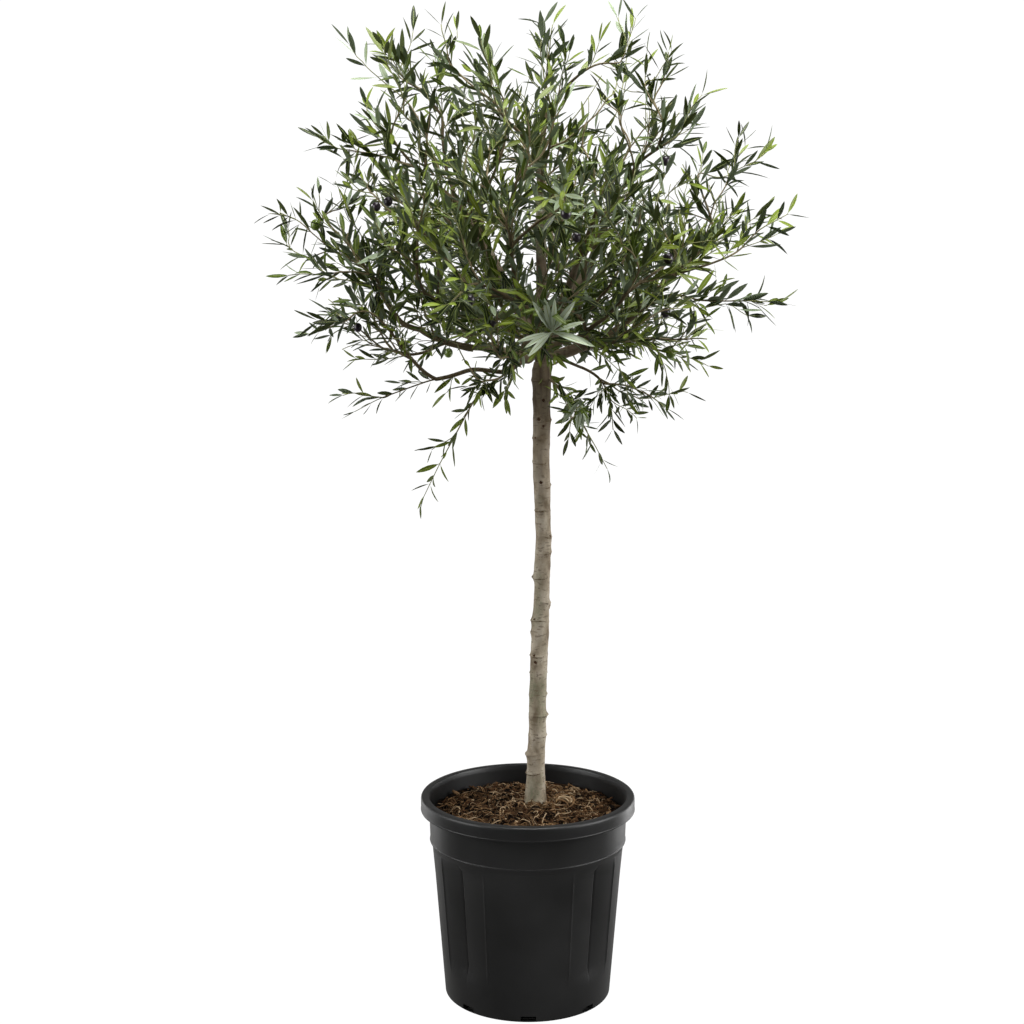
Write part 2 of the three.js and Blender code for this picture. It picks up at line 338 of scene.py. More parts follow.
Relief = Callable[[np.ndarray, np.ndarray, np.ndarray], np.ndarray]


def add_tube(
    builder: MeshBuilder,
    points: np.ndarray,
    radii: np.ndarray,
    sides: int,
    slot: int = 0,
    relief: Relief | None = None,
) -> None:
    """Add a closed tube along a path.

    Args:
        builder: What the tube is added to.
        points: The path's points.
        radii: The radius at each point.
        sides: How many sides the tube has.
        slot: The material slot.
        relief: What the surface stands out by, from its corners, distances along and angles.
    """
    _, first, second = frames_along(points)
    angles = np.arange(sides) * (2 * math.pi / sides)
    around = (
        first[:, None, :] * np.cos(angles)[None, :, None]
        + second[:, None, :] * np.sin(angles)[None, :, None]
    )
    rings = points[:, None, :] + around * radii[:, None, None]
    if relief is not None:
        steps = np.linalg.norm(np.diff(points, axis=0), axis=1)
        along = np.concatenate([[0.0], np.cumsum(steps)])
        grid_along = np.repeat(along, sides)
        grid_angles = np.tile(angles, len(points))
        lift = relief(rings.reshape(-1, 3), grid_along, grid_angles)
        rings = rings + around * lift.reshape(len(points), sides, 1)
    count = len(points)
    corners = np.concatenate([rings.reshape(-1, 3), points[:1], points[-1:]])
    builder.add(corners, ring_quads(count, sides), slot)
    builder.face(end_caps(count, sides), slot)


@dataclass
class Limb:
    """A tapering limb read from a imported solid: its middle line and its radii."""

    points: np.ndarray
    radii: np.ndarray

    @classmethod
    def read(cls, node: bpy.types.Object, start: np.ndarray, slices: int) -> "Limb":
        """Slice a solid square to its length, from the end that is nearer to a start.

        Args:
            node: The solid.
            start: A point near the end where the limb begins.
            slices: How many slices are taken.

        Returns:
            The limb through the middles of the slices.
        """
        corners, edges = node_mesh(node)
        near = corners[np.argmin(np.linalg.norm(corners - start, axis=1))]
        far = corners[np.argmax(np.linalg.norm(corners - near, axis=1))]
        axis = unit(far - near)
        heights = (corners - near) @ axis
        low, high = heights.min(), heights.max()
        points, radii = [], []
        for share in np.linspace(0.03, 0.97, slices):
            level = low + (high - low) * share
            a, b = heights[edges[:, 0]], heights[edges[:, 1]]
            crossing = (a - level) * (b - level) < 0
            weight = ((level - a) / np.where(crossing, b - a, 1.0))[crossing, None]
            ends = corners[edges[crossing]]
            cut = ends[:, 0] * (1 - weight) + ends[:, 1] * weight
            middle = (cut.min(axis=0) + cut.max(axis=0)) / 2
            points.append(middle)
            radii.append(np.linalg.norm(cut - middle, axis=1).mean())
        return cls(np.array(points), np.array(radii))

    def resampled(self, step: float) -> "Limb":
        """Give the limb evenly spaced points on a smooth line.

        Args:
            step: The distance between two points.

        Returns:
            The finer limb.
        """
        lengths = np.linalg.norm(np.diff(self.points, axis=0), axis=1)
        along = np.concatenate([[0.0], np.cumsum(lengths)])
        places = np.linspace(0, along[-1], max(int(along[-1] / step), 2) + 1)
        slopes = np.gradient(self.points, along, axis=0)
        index = np.clip(np.searchsorted(along, places, side="right") - 1, 0, len(along) - 2)
        span = (along[index + 1] - along[index])[:, None]
        t = (places[:, None] - along[index][:, None]) / span
        weights = curve_weights(t)
        points = (
            weights[0] * self.points[index]
            + weights[1] * span * slopes[index]
            + weights[2] * self.points[index + 1]
            + weights[3] * span * slopes[index + 1]
        )
        return Limb(points, np.interp(places, along, self.radii))


# ---- Finishes -----------------------------------------------------------------------------------


@dataclass(frozen=True)
class PlainFinish:
    """A finish with the same values all over, set on the shader's own sockets."""

    name: str
    colour: Colour
    roughness: float = 0.5
    specular: float = 0.5
    coat: float = 0.0

    def material(self) -> bpy.types.Material:
        """Make the material.

        Returns:
            A material with one plain shader.
        """
        made = bpy.data.materials.new(self.name)
        made.use_nodes = True
        shader = made.node_tree.nodes["Principled BSDF"]
        shader.inputs["Base Color"].default_value = (*self.colour, 1.0)
        shader.inputs["Roughness"].default_value = self.roughness
        shader.inputs["Specular IOR Level"].default_value = self.specular
        shader.inputs["Coat Weight"].default_value = self.coat
        made.diffuse_color = (*self.colour, 1.0)
        return made


class NodeSketch:
    """A short way to lay out a procedural material."""

    def __init__(self, name: str, roughness: float, specular: float = 0.5) -> None:
        """Open a new material.

        Args:
            name: The material's name.
            roughness: The shader's roughness where nothing varies it.
            specular: How strongly the shader reflects.
        """
        self.material = bpy.data.materials.new(name)
        self.material.use_nodes = True
        self.tree = self.material.node_tree
        self.shader = self.tree.nodes["Principled BSDF"]
        self.shader.inputs["Roughness"].default_value = roughness
        self.shader.inputs["Specular IOR Level"].default_value = specular
        self.place = self.tree.nodes.new("ShaderNodeTexCoord").outputs["Object"]

    def link(self, source: bpy.types.NodeSocket, target: bpy.types.NodeSocket) -> None:
        """Join two sockets."""
        self.tree.links.new(source, target)

    def noise(
        self,
        scale: float,
        detail: float = 4.0,
        stretch: tuple[float, float, float] = (1.0, 1.0, 1.0),
    ) -> bpy.types.NodeSocket:
        """Add a noise in the object's own space.

        Args:
            scale: How fine the noise is.
            detail: How many finer layers it has.
            stretch: How much finer it is along each axis.

        Returns:
            The noise's value.
        """
        mapping = self.tree.nodes.new("ShaderNodeMapping")
        mapping.inputs["Scale"].default_value = stretch
        self.link(self.place, mapping.inputs["Vector"])
        texture = self.tree.nodes.new("ShaderNodeTexNoise")
        texture.inputs["Scale"].default_value = scale
        texture.inputs["Detail"].default_value = detail
        self.link(mapping.outputs["Vector"], texture.inputs["Vector"])
        return texture.outputs["Fac"]

    def ramp(
        self, value: bpy.types.NodeSocket, stops: list[tuple[float, Colour]]
    ) -> bpy.types.NodeSocket:
        """Turn a value into colours.

        Args:
            value: The value, from 0 to 1.
            stops: The places on the ramp and their colours.

        Returns:
            The ramp's colour.
        """
        node = self.tree.nodes.new("ShaderNodeValToRGB")
        elements = node.color_ramp.elements
        while len(elements) < len(stops):
            elements.new(0.5)
        for element, (position, colour) in zip(elements, stops):
            element.position = position
            element.color = (*colour, 1.0)
        self.link(value, node.inputs["Fac"])
        return node.outputs["Color"]

    def mix(
        self,
        share: bpy.types.NodeSocket,
        first: bpy.types.NodeSocket,
        second: bpy.types.NodeSocket,
    ) -> bpy.types.NodeSocket:
        """Mix two colours by a share.

        Args:
            share: The share of the second colour.
            first: The first colour.
            second: The second colour.

        Returns:
            The mixed colour.
        """
        node = self.tree.nodes.new("ShaderNodeMix")
        node.data_type = "RGBA"
        self.link(share, node.inputs["Factor"])
        self.link(first, node.inputs["A"])
        self.link(second, node.inputs["B"])
        return node.outputs["Result"]

    def span(
        self, value: bpy.types.NodeSocket, source: tuple[float, float], target: tuple[float, float]
    ) -> bpy.types.NodeSocket:
        """Map a value from one range to another, and hold it there.

        Args:
            value: The value.
            source: The range it comes in.
            target: The range it leaves in.

        Returns:
            The mapped value.
        """
        node = self.tree.nodes.new("ShaderNodeMapRange")
        self.link(value, node.inputs["Value"])
        names = ("From Min", "From Max", "To Min", "To Max")
        for name, number in zip(names, (*source, *target)):
            node.inputs[name].default_value = number
        return node.outputs["Result"]

    def height(self) -> bpy.types.NodeSocket:
        """Give the height above the ground."""
        node = self.tree.nodes.new("ShaderNodeSeparateXYZ")
        self.link(self.place, node.inputs["Vector"])
        return node.outputs["Z"]

    def colour(self, source: bpy.types.NodeSocket) -> None:
        """Paint the shader's colour."""
        self.link(source, self.shader.inputs["Base Color"])

    def rough(self, value: bpy.types.NodeSocket, low: float, high: float) -> None:
        """Vary the roughness between two values."""
        self.link(self.span(value, (0.3, 0.7), (low, high)), self.shader.inputs["Roughness"])

    def bump(self, values: list[tuple[bpy.types.NodeSocket, float]]) -> None:
        """Raise the surface by several values, each with its own depth in metres.

        Args:
            values: The values and their depths.
        """
        before = None
        for value, depth in values:
            node = self.tree.nodes.new("ShaderNodeBump")
            node.inputs["Distance"].default_value = depth
            self.link(value, node.inputs["Height"])
            if before is not None:
                self.link(before, node.inputs["Normal"])
            before = node.outputs["Normal"]
        self.link(before, self.shader.inputs["Normal"])


@dataclass(frozen=True)
class BarkFinish:
    """Smooth young bark: pale grey-beige, browner near the crown, greenish in places, and darkened
    inside the canopy as painted shade.
    """

    name: str = "bark"
    pale: Colour = screen(180, 169, 151)
    mid: Colour = screen(152, 140, 120)
    dark: Colour = screen(114, 100, 80)
    speck: Colour = screen(74, 58, 42)
    brown: Colour = screen(108, 94, 71)
    moss: Colour = screen(120, 126, 98)
    # shade is the colour of the painted shade on the bark inside the canopy.
    shade: Colour = screen(84, 76, 54)

    def material(self) -> bpy.types.Material:
        """Make the bark.

        Returns:
            A procedural material with colour, roughness and fine relief.
        """
        sketch = NodeSketch(self.name, 0.85)
        clouds = sketch.noise(42, 8, (1.0, 1.0, 0.6))
        grain = sketch.noise(420, 3, (1.0, 1.0, 0.5))
        streaks = sketch.noise(120, 4, (1.0, 1.0, 0.07))
        grey = sketch.ramp(clouds, [(0.34, self.dark), (0.46, self.mid), (0.62, self.pale)])
        warm = sketch.ramp(streaks, [(0.34, self.speck), (0.5, self.brown), (0.66, self.dark)])
        rise = sketch.span(sketch.height(), (0.84, 1.16), (0.0, 0.85))
        # Inside the canopy, from 1.2 m up, the bark is darkened towards dark streaks: a painted
        # shade of the leaves over it.
        canopy_shade = sketch.ramp(streaks, [(0.34, self.speck), (0.6, self.shade)])
        canopy_shade_share = sketch.span(sketch.height(), (1.2, 1.34), (0.0, 0.75))
        body = sketch.mix(canopy_shade_share, sketch.mix(rise, grey, warm), canopy_shade)
        patches = sketch.span(sketch.noise(12, 3, (1.0, 1.0, 0.5)), (0.5, 0.6), (0.0, 0.65))
        green = sketch.ramp(grain, [(0.3, self.mid), (0.6, self.moss)])
        mossy = sketch.mix(patches, body, green)
        dashes = sketch.span(sketch.noise(85, 3, (1.0, 1.0, 3.2)), (0.57, 0.66), (0.0, 0.6))
        dots = sketch.span(sketch.noise(220, 2), (0.66, 0.71), (0.0, 0.8))
        scars = sketch.ramp(grain, [(0.3, self.speck), (0.7, self.dark)])
        dashed = sketch.mix(dashes, mossy, scars)
        sketch.colour(sketch.mix(dots, dashed, scars))
        sketch.rough(grain, 0.75, 0.95)
        fine = sketch.noise(260, 6)
        sketch.bump([(clouds, 1.8 * MM), (fine, 0.6 * MM)])
        return sketch.material


@dataclass(frozen=True)
class PotFinish:
    """Charcoal moulded plastic with a faint grain and a soft sheen."""

    name: str = "pot_plastic"
    deep: Colour = screen(19, 19, 19)
    worn: Colour = screen(28, 28, 28)

    def material(self) -> bpy.types.Material:
        """Make the plastic.

        Returns:
            A procedural material with a mottled colour, uneven gloss and moulded grain.
        """
        sketch = NodeSketch(self.name, 0.45)
        cloud = sketch.noise(7, 5)
        grain = sketch.noise(900, 2)
        sketch.colour(sketch.ramp(cloud, [(0.35, self.deep), (0.7, self.worn)]))
        sketch.rough(cloud, 0.4, 0.52)
        streaks = sketch.noise(14, 3, (1.0, 1.0, 0.12))
        sketch.bump([(streaks, 0.6 * MM), (grain, 0.05 * MM)])
        return sketch.material


@dataclass(frozen=True)
class MixFinish:
    """Moist potting mix under its loose fibres, its darkest crumbs darker than moist mix as
    painted shade in the gaps between the fibres.
    """

    name: str = "potting_mix"
    # The wet end is the moist mix's own dark brown, darkened nearly to black as painted shade in
    # the gaps between the fibres.
    wet_and_shade: Colour = screen(7, 4, 2)
    dry: Colour = screen(38, 25, 14)

    def material(self) -> bpy.types.Material:
        """Make the potting mix.

        Returns:
            A procedural material with crumbs in its colour and relief.
        """
        sketch = NodeSketch(self.name, 0.95, 0.1)
        crumbs = sketch.noise(150, 6)
        sketch.colour(sketch.ramp(crumbs, [(0.38, self.wet_and_shade), (0.65, self.dry)]))
        sketch.rough(crumbs, 0.9, 1.0)
        sketch.bump([(crumbs, 3 * MM)])
        return sketch.material


class LeafTint(Enum):
    """The tints that sprays of leaves are dealt."""

    DEEP = PlainFinish("leaf_deep", screen(33, 44, 10), 0.42, 0.2)
    GREEN = PlainFinish("leaf_green", screen(66, 83, 17), 0.42, 0.22)
    OLIVE = PlainFinish("leaf_olive", screen(94, 107, 28), 0.42, 0.22)
    GREY = PlainFinish("leaf_grey", screen(140, 154, 126), 0.45, 0.3)
    FRESH = PlainFinish("leaf_fresh", screen(106, 122, 38), 0.42, 0.25)
    # The pale tint is the young leaves' own silvery grey, made paler still as a painted sheen and
    # light on the front star, which the lamps barely reach.
    PALE_SHEEN = PlainFinish("leaf_pale", screen(170, 182, 156), 0.45, 0.3)


class LeafBack(Enum):
    """The tints of the undersides and of the midribs."""

    SILVER = PlainFinish("leaf_back_silver", screen(106, 118, 92), 0.7, 0.15)
    SAGE = PlainFinish("leaf_back_sage", screen(78, 88, 48), 0.65, 0.15)
    RIB = PlainFinish("leaf_rib", screen(130, 140, 84), 0.55, 0.2)


class WoodTint(Enum):
    """The tints of the twigs, by age."""

    SHOOT = PlainFinish("shoot_green", screen(122, 124, 78), 0.6, 0.35)
    TWIG = PlainFinish("twig_grey", screen(122, 110, 82), 0.75, 0.3)
    BRANCH = PlainFinish("branch_grey", screen(94, 83, 60), 0.85, 0.25)


class FruitTint(Enum):
    """The tints of the olives and their stalks."""

    RIPE = PlainFinish("olive_ripe", screen(38, 28, 38), 0.32, 0.5, 0.2)
    UNRIPE = PlainFinish("olive_green", screen(96, 116, 44), 0.35, 0.5, 0.2)
    STALK = PlainFinish("olive_stalk", screen(120, 124, 76), 0.6, 0.3)


class ChipTint(Enum):
    """The tints of the fibres and bark chips on the potting mix."""

    STRAW = PlainFinish("chip_straw", screen(186, 160, 126), 0.6, 0.3)
    TAN = PlainFinish("chip_tan", screen(124, 95, 63), 0.7, 0.25)
    BROWN = PlainFinish("chip_brown", screen(70, 50, 30), 0.8, 0.15)
    RED = PlainFinish("chip_red", screen(80, 54, 32), 0.8, 0.15)
    DARK = PlainFinish("chip_dark", screen(14, 9, 5), 0.9, 0.1)


# ---- Branching ----------------------------------------------------------------------------------


@dataclass
class Branching:
    """The wood of the crown as places that each know the place they grew from.

    New wood reaches from the most fitting old place to a given tip, in an arch that wanders by
    about a millimetre from one place to the next.
    """

    rng: np.random.Generator
    step: float = 11 * MM
    turn_cost: float = 1.3
    travel_cost: float = 0.22
    level_cost: float = 1.1
    rises_above: float = 1.24
    tip_radius: float = 0.65 * MM
    thickening: float = 0.003
    pipe_power: float = 2.5
    fastest_taper: float = 0.93
    wander: float = 0.9
    room: int = 40000
    count: int = 0
    places: np.ndarray = field(init=False)
    headings: np.ndarray = field(init=False)
    parents: np.ndarray = field(init=False)
    travels: np.ndarray = field(init=False)
    least: np.ndarray = field(init=False)
    can_fork: np.ndarray = field(init=False)
    leafy: dict[int, float] = field(default_factory=dict)

    def __post_init__(self) -> None:
        """Make room for the places."""
        self.places = np.zeros((self.room, 3))
        self.headings = np.zeros((self.room, 3))
        self.parents = np.full(self.room, -1)
        self.travels = np.zeros(self.room)
        self.least = np.zeros(self.room)
        self.can_fork = np.zeros(self.room, dtype=bool)

    def lay(
        self,
        points: np.ndarray,
        parent: int,
        least: np.ndarray | float = 0.0,
        can_fork: bool = True,
    ) -> int:
        """Lay wood along given points.

        Args:
            points: The new places, in order.
            parent: The place that the first one grows from, or -1.
            least: The least radius of the places.
            can_fork: Whether later wood may grow from them.

        Returns:
            The number of the last place.
        """
        least = np.broadcast_to(least, len(points))
        for point, radius in zip(points, least):
            i = self.count
            before = self.places[parent] if parent >= 0 else point - UP * self.step
            self.places[i] = point
            self.headings[i] = unit(point - before)
            self.parents[i] = parent
            self.travels[i] = 0.0
            if parent >= 0:
                self.travels[i] = self.travels[parent] + np.linalg.norm(point - before)
            self.least[i] = radius
            self.can_fork[i] = can_fork
            parent = i
            self.count += 1
        return parent

    def parent_for(self, tip: np.ndarray, shortest: float, first: int = 0) -> int:
        """Find the place from which a tip is best reached.

        Args:
            tip: The tip.
            shortest: The least distance between them.
            first: The first place that it may grow from.

        Returns:
            The number of the place.
        """
        n = self.count
        gaps = tip - self.places[:n]
        distances = np.linalg.norm(gaps, axis=1)
        turn = 1 - (gaps * self.headings[:n]).sum(axis=1) / np.maximum(distances, 1e-9)
        costs = distances * (1 + self.turn_cost * turn**2) + self.travel_cost * self.travels[:n]
        if tip[2] > self.rises_above:
            level = np.maximum(0.5 - gaps[:, 2] / np.maximum(distances, 1e-9), 0)
            costs += distances * self.level_cost * level
        costs[~self.can_fork[:n] | (distances < shortest)] = np.inf
        costs[:first] = np.inf
        return int(np.argmin(costs))

    def reach(
        self, tip: np.ndarray, pull: np.ndarray, shortest: float, leafy: float, first: int = 0
    ) -> int:
        """Grow wood to a tip.

        Args:
            tip: Where the wood ends.
            pull: The direction that the end is drawn to.
            shortest: The least length of the new wood.
            leafy: How much of the wood before the tip bears leaves.
            first: The first place that it may grow from.

        Returns:
            The number of the tip's place.
        """
        parent = self.parent_for(tip, shortest, first)
        start = self.places[parent]
        gap = tip - start
        length = np.linalg.norm(gap)
        ahead = gap / length
        leaving = unit(self.headings[parent] * 0.55 + ahead) * length
        arriving = unit(ahead + pull) * length
        count = max(int(length / self.step), 3)
        t = (np.arange(1, count + 1) / count)[:, None]
        weights = curve_weights(t)
        points = (
            weights[0] * start
            + weights[1] * leaving
            + weights[2] * tip
            + weights[3] * arriving
        )
        wander = np.cumsum(self.rng.normal(size=(count, 3)), axis=0) * self.wander * MM
        points += wander * (t * (1 - t) * 4)
        end = self.lay(points, parent)
        self.leafy[end] = leafy
        return end

    def girths(self) -> np.ndarray:
        """Work out every radius, so that a limb's section carries those of its shoots.

        Returns:
            The radius at each place.
        """
        n = self.count
        sections = np.zeros(n)
        radii = np.zeros(n)
        busiest = np.full(n, -1)
        for i in range(n - 1, -1, -1):
            parent = self.parents[i]
            grown = sections[i] ** (1 / self.pipe_power) if sections[i] else self.tip_radius
            if parent >= 0:
                grown += self.thickening * np.linalg.norm(self.places[i] - self.places[parent])
            radii[i] = max(grown, self.least[i])
            if parent >= 0:
                sections[parent] += radii[i] ** self.pipe_power
                if busiest[parent] < 0 or radii[i] > radii[busiest[parent]]:
                    busiest[parent] = i
        for i in range(n):
            if busiest[i] >= 0:
                radii[busiest[i]] = max(radii[busiest[i]], radii[i] * self.fastest_taper)
        return radii

    def chains(self, radii: np.ndarray) -> list[list[int]]:
        """Split the wood into unbroken limbs, each along its thickest way to a tip.

        Args:
            radii: The radius at each place.

        Returns:
            The limbs, as lists of places from foot to tip.
        """
        children: list[list[int]] = [[] for _ in range(self.count)]
        for i in range(self.count):
            if self.parents[i] >= 0:
                children[self.parents[i]].append(i)
        chains = []
        starts = [[i] for i in range(self.count) if self.parents[i] < 0]
        while starts:
            chain = starts.pop()
            while children[chain[-1]]:
                here = chain[-1]
                following = max(children[here], key=lambda child: radii[child])
                starts += [[here, child] for child in children[here] if child != following]
                chain.append(following)
            chains.append(chain)
        return chains


@dataclass(frozen=True)
class SkyGap:
    """A part of the crown, right through from front to back, where the sky shows."""

    x: float
    z: float
    half_x: float
    half_z: float
    share: float

    def thinning(self, place: np.ndarray) -> float:
        """Tell what share of the shoots is missing at a place.

        Args:
            place: The place in the crown.

        Returns:
            The share, fading towards the gap's rim.
        """
        out = math.hypot((place[0] - self.x) / self.half_x, (place[2] - self.z) / self.half_z)
        return self.share * float(smooth((1 - out) * 2))


@dataclass(frozen=True)
class Tuft:
    """Upright shoots that stand out of the top of the crown."""

    x: float
    z: float
    spread: float
    shoots: int


@dataclass(frozen=True)
class Whorl:
    """Large young leaves in a star at the end of a shoot that faces the front."""

    place: tuple[float, float, float]
    leaves: int
    turns: tuple[float, float]
    length: tuple[float, float]


@dataclass
class Crown:
    """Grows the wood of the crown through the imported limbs, masses and sprays."""

    frame: dict
    rng: np.random.Generator
    trunk_slices: int = 26
    bough_slices: int = 9
    leaders_apart: float = 150 * MM
    branches_apart: float = 82 * MM
    shoots_apart: float = 60 * MM
    twigs_apart: float = 50 * MM
    gaps: tuple[SkyGap, ...] = (
        SkyGap(0.0, 1.72, 0.66, 0.36, 0.52),
        SkyGap(0.05, 1.70, 0.20, 0.18, 0.85),
        SkyGap(0.22, 1.62, 0.16, 0.17, 0.85),
        SkyGap(0.28, 1.47, 0.12, 0.10, 0.75),
        SkyGap(-0.30, 1.46, 0.12, 0.10, 0.8),
        SkyGap(-0.38, 1.33, 0.10, 0.08, 0.6),
        SkyGap(0.36, 1.32, 0.12, 0.12, 0.6),
        SkyGap(-0.22, 1.20, 0.22, 0.10, 0.8),
        SkyGap(0.30, 1.24, 0.12, 0.08, 0.6),
    )
    hanging: tuple[tuple[float, float, float], ...] = (
        (0.07, -0.11, 1.06),
        (0.11, 0.02, 1.04),
        (0.15, -0.06, 1.07),
        (0.20, 0.05, 1.08),
        (0.24, -0.07, 1.11),
        (0.29, 0.02, 1.13),
        (0.10, 0.12, 1.08),
        (0.09, -0.20, 1.12),
        (0.17, -0.16, 1.13),
        (0.24, -0.16, 1.14),
        (0.05, -0.14, 1.14),
        (0.20, 0.14, 1.12),
        (-0.33, -0.05, 1.13),
    )
    tufts: tuple[Tuft, ...] = (
        Tuft(-0.25, 1.71, 0.045, 3),
        Tuft(-0.15, 1.75, 0.045, 3),
        Tuft(-0.07, 1.72, 0.03, 1),
        Tuft(0.03, 1.76, 0.03, 2),
        Tuft(0.19, 1.76, 0.02, 1),
    )
    tuft_depth: float = 130 * MM
    whorls: tuple[Whorl, ...] = (
        Whorl((0.035, -0.330, 1.254), 11, (-0.75, 4.0), (48 * MM, 72 * MM)),
        Whorl((0.090, -0.120, 1.130), 4, (-2.0, -1.1), (46 * MM, 64 * MM)),
    )
    skin: float = 22 * MM
    leaf_reach: float = 30 * MM
    side_shoot_gap: float = 32 * MM
    middle_rise: float = 0.22
    spray_slices: int = 8
    wood: Branching = field(init=False)
    trunk: Limb = field(init=False)
    boughs: list[Limb] = field(init=False)
    fork: np.ndarray = field(init=False)
    middle: np.ndarray = field(init=False)
    thinned: set[int] = field(default_factory=set)
    long_shoots: set[int] = field(default_factory=set)

    def __post_init__(self) -> None:
        """Read the limbs and lay them as the first wood."""
        nodes = self.frame["nodes"]
        pot_top = np.array(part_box("pot")[1])
        foot = np.array([0.0, 0.0, pot_top[2]])
        self.trunk = Limb.read(nodes["trunk"], foot, self.trunk_slices)
        top = np.array(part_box("trunk")[1])[2]
        self.fork = np.array([*self.trunk.points[-1][:2], top])
        self.wood = Branching(self.rng)
        stem = self.trunk.resampled(self.wood.step)
        last = self.wood.lay(stem.points, -1, stem.radii, can_fork=False)
        self.boughs = []
        for name in sorted(n for n in nodes if n.startswith("bough")):
            limb = Limb.read(nodes[name], self.fork, self.bough_slices)
            from_stem = Limb(
                np.vstack([self.fork - UP * 25 * MM, limb.points]),
                np.concatenate([[limb.radii[0] * 1.05], limb.radii]),
            ).resampled(self.wood.step)
            self.boughs.append(from_stem)
            self.wood.lay(from_stem.points, last, from_stem.radii)
        self.middle = self.fork + UP * self.middle_rise

    def pull_at(self, place: np.ndarray) -> np.ndarray:
        """Tell which way shoots are drawn at a place: up in the crown's top, outwards below.

        Args:
            place: The place in the crown.

        Returns:
            The direction and strength of the draw.
        """
        out = unit((place - self.middle) * np.array([1.0, 1.0, 0.3]))
        rise = smooth((place[2] - self.fork[2] + 0.05) / 0.4)
        swing = self.rng.normal(size=3) * 0.25
        return out * 0.45 + UP * (-0.35 + 1.15 * rise) + swing

    def thinning(self, place: np.ndarray) -> float:
        """Tell what share of the growth is missing at a place."""
        return max(gap.thinning(place) for gap in self.gaps)

    def sample(self, names: list[str], apart: float, shell: float) -> list[np.ndarray]:
        """Choose tips inside solids, at least a distance apart.

        Args:
            names: The solids.
            apart: The least distance between two tips.
            shell: The share of tips that has to lie near the surface.

        Returns:
            The tips.
        """
        kept = np.empty((0, 3))
        for name in names:
            node = self.frame["nodes"][name]
            low, high = (np.array(corner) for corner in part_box(name))
            tree = BVHTree.FromObject(node, bpy.context.evaluated_depsgraph_get())
            tries = int(np.prod((high - low) / apart) * 60)
            for place in self.rng.uniform(low, high, size=(tries, 3)):
                if len(kept) and np.linalg.norm(kept - place, axis=1).min() < apart:
                    continue
                near, normal, _, depth = tree.find_nearest(Vector(place))
                outside = (Vector(place) - near).dot(normal) > 0
                if outside or depth < self.skin * self.rng.uniform(0.3, 1.2):
                    continue
                if depth > 2.6 * self.skin and self.rng.random() < shell:
                    continue
                if self.rng.random() < self.thinning(place):
                    continue
                kept = np.vstack([kept, place])
        return sorted(kept, key=lambda place: float(np.linalg.norm(place - self.fork)))

    def grow(self) -> None:
        """Grow leaders, sprays, branches and shoots, each finer than the last."""
        masses = sorted(n for n in self.frame["nodes"] if n.startswith("foliage"))
        for place in self.sample(masses, self.leaders_apart, 0.3):
            self.wood.reach(place, self.pull_at(place), 90 * MM, self.leafy_length())
        for name in sorted(n for n in self.frame["nodes"] if n.startswith("spray")):
            self.grow_spray(name)
        for apart, shell, shortest in (
            (self.branches_apart, 0.5, 60 * MM),
            (self.shoots_apart, 0.62, 45 * MM),
            (self.twigs_apart, 0.7, 40 * MM),
        ):
            for place in self.sample(masses, apart, shell):
                end = self.wood.reach(place, self.pull_at(place), shortest, self.leafy_length())
                self.thinned.add(end)
        for tuft in self.tufts:
            middle = np.array([tuft.x, 0.0, tuft.z])
            for shift in self.rng.normal(size=(tuft.shoots, 3)).clip(-1.4, 1.4):
                tip = middle + shift * np.array([tuft.spread, self.tuft_depth, tuft.spread * 0.6])
                self.long_shoots.add(self.wood.reach(tip, UP * 0.8, 90 * MM, self.leafy_length()))
        for tip in self.hanging:
            self.wood.reach(np.array(tip), UP * -0.6, 70 * MM, self.leafy_length())
        for whorl in self.whorls:
            self.wood.reach(np.array(whorl.place), -REARWARD * 0.6, 80 * MM, 60 * MM)
        LOG.info("crown: %d places, %d tips", self.wood.count, len(self.wood.leafy))

    def grow_spray(self, name: str) -> None:
        """Grow a long shoot along a spray, with a few side shoots.

        Args:
            name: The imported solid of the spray.
        """
        spray = Limb.read(self.frame["nodes"][name], self.middle, self.spray_slices)
        line = spray.resampled(self.wood.step)
        keep = line.points[: max(len(line.points) - int(self.leaf_reach / self.wood.step), 4)]
        foot = keep[0]
        parent = self.wood.parent_for(foot, 70 * MM)
        start, heading = self.wood.places[parent], unit(keep[2] - keep[0])
        gap = np.linalg.norm(foot - start)
        count = int(gap / self.wood.step)
        t = (np.arange(1, count + 1) / (count + 1))[:, None]
        leaving = unit(self.wood.headings[parent] * 0.5 + unit(foot - start)) * gap
        weights = curve_weights(t)
        bridge = (
            weights[0] * start
            + weights[1] * leaving
            + weights[2] * foot
            + weights[3] * heading * gap
        )
        first = self.wood.count
        end = self.wood.lay(np.vstack([bridge, keep]), parent)
        self.wood.leafy[end] = len(keep) * self.wood.step * 0.95
        self.long_shoots.add(end)
        girth = spray.radii.max()
        forward = unit(keep[-1] - keep[0])
        length = np.linalg.norm(keep[-1] - keep[0])
        hangs = keep[-1][2] < self.fork[2]
        shoots = 2 if hangs else int(length / self.side_shoot_gap) + 2
        for share in np.linspace(0.25, 0.6 if hangs else 0.95, shoots):
            out = unit(np.cross(forward, self.rng.normal(size=3)))
            ahead = length * share - self.rng.uniform(0, 30) * MM
            tip = keep[0] + forward * ahead + out * girth * self.rng.uniform(0.55, 1.1)
            self.wood.reach(tip, self.pull_at(tip) * 0.5, 40 * MM, self.leafy_length(), first)

    def leafy_length(self) -> float:
        """Draw how much of a shoot bears leaves."""
        return self.rng.uniform(110, 220) * MM


# ---- Stem and boughs ----------------------------------------------------------------------------


@dataclass(frozen=True)
class Ridge:
    """A raised ring where an old pair of leaves sat, stronger on one side of the stem."""

    height: float
    facing: float
    tilt: float
    strength: float
    width: float
    bulge: float
    # crease sets how far round the stem the painted shade line under the ridge reaches.
    crease: float


@dataclass(frozen=True)
class Knot:
    """The round dark scar of a shoot that was cut away."""

    height: float
    facing: float
    size: float


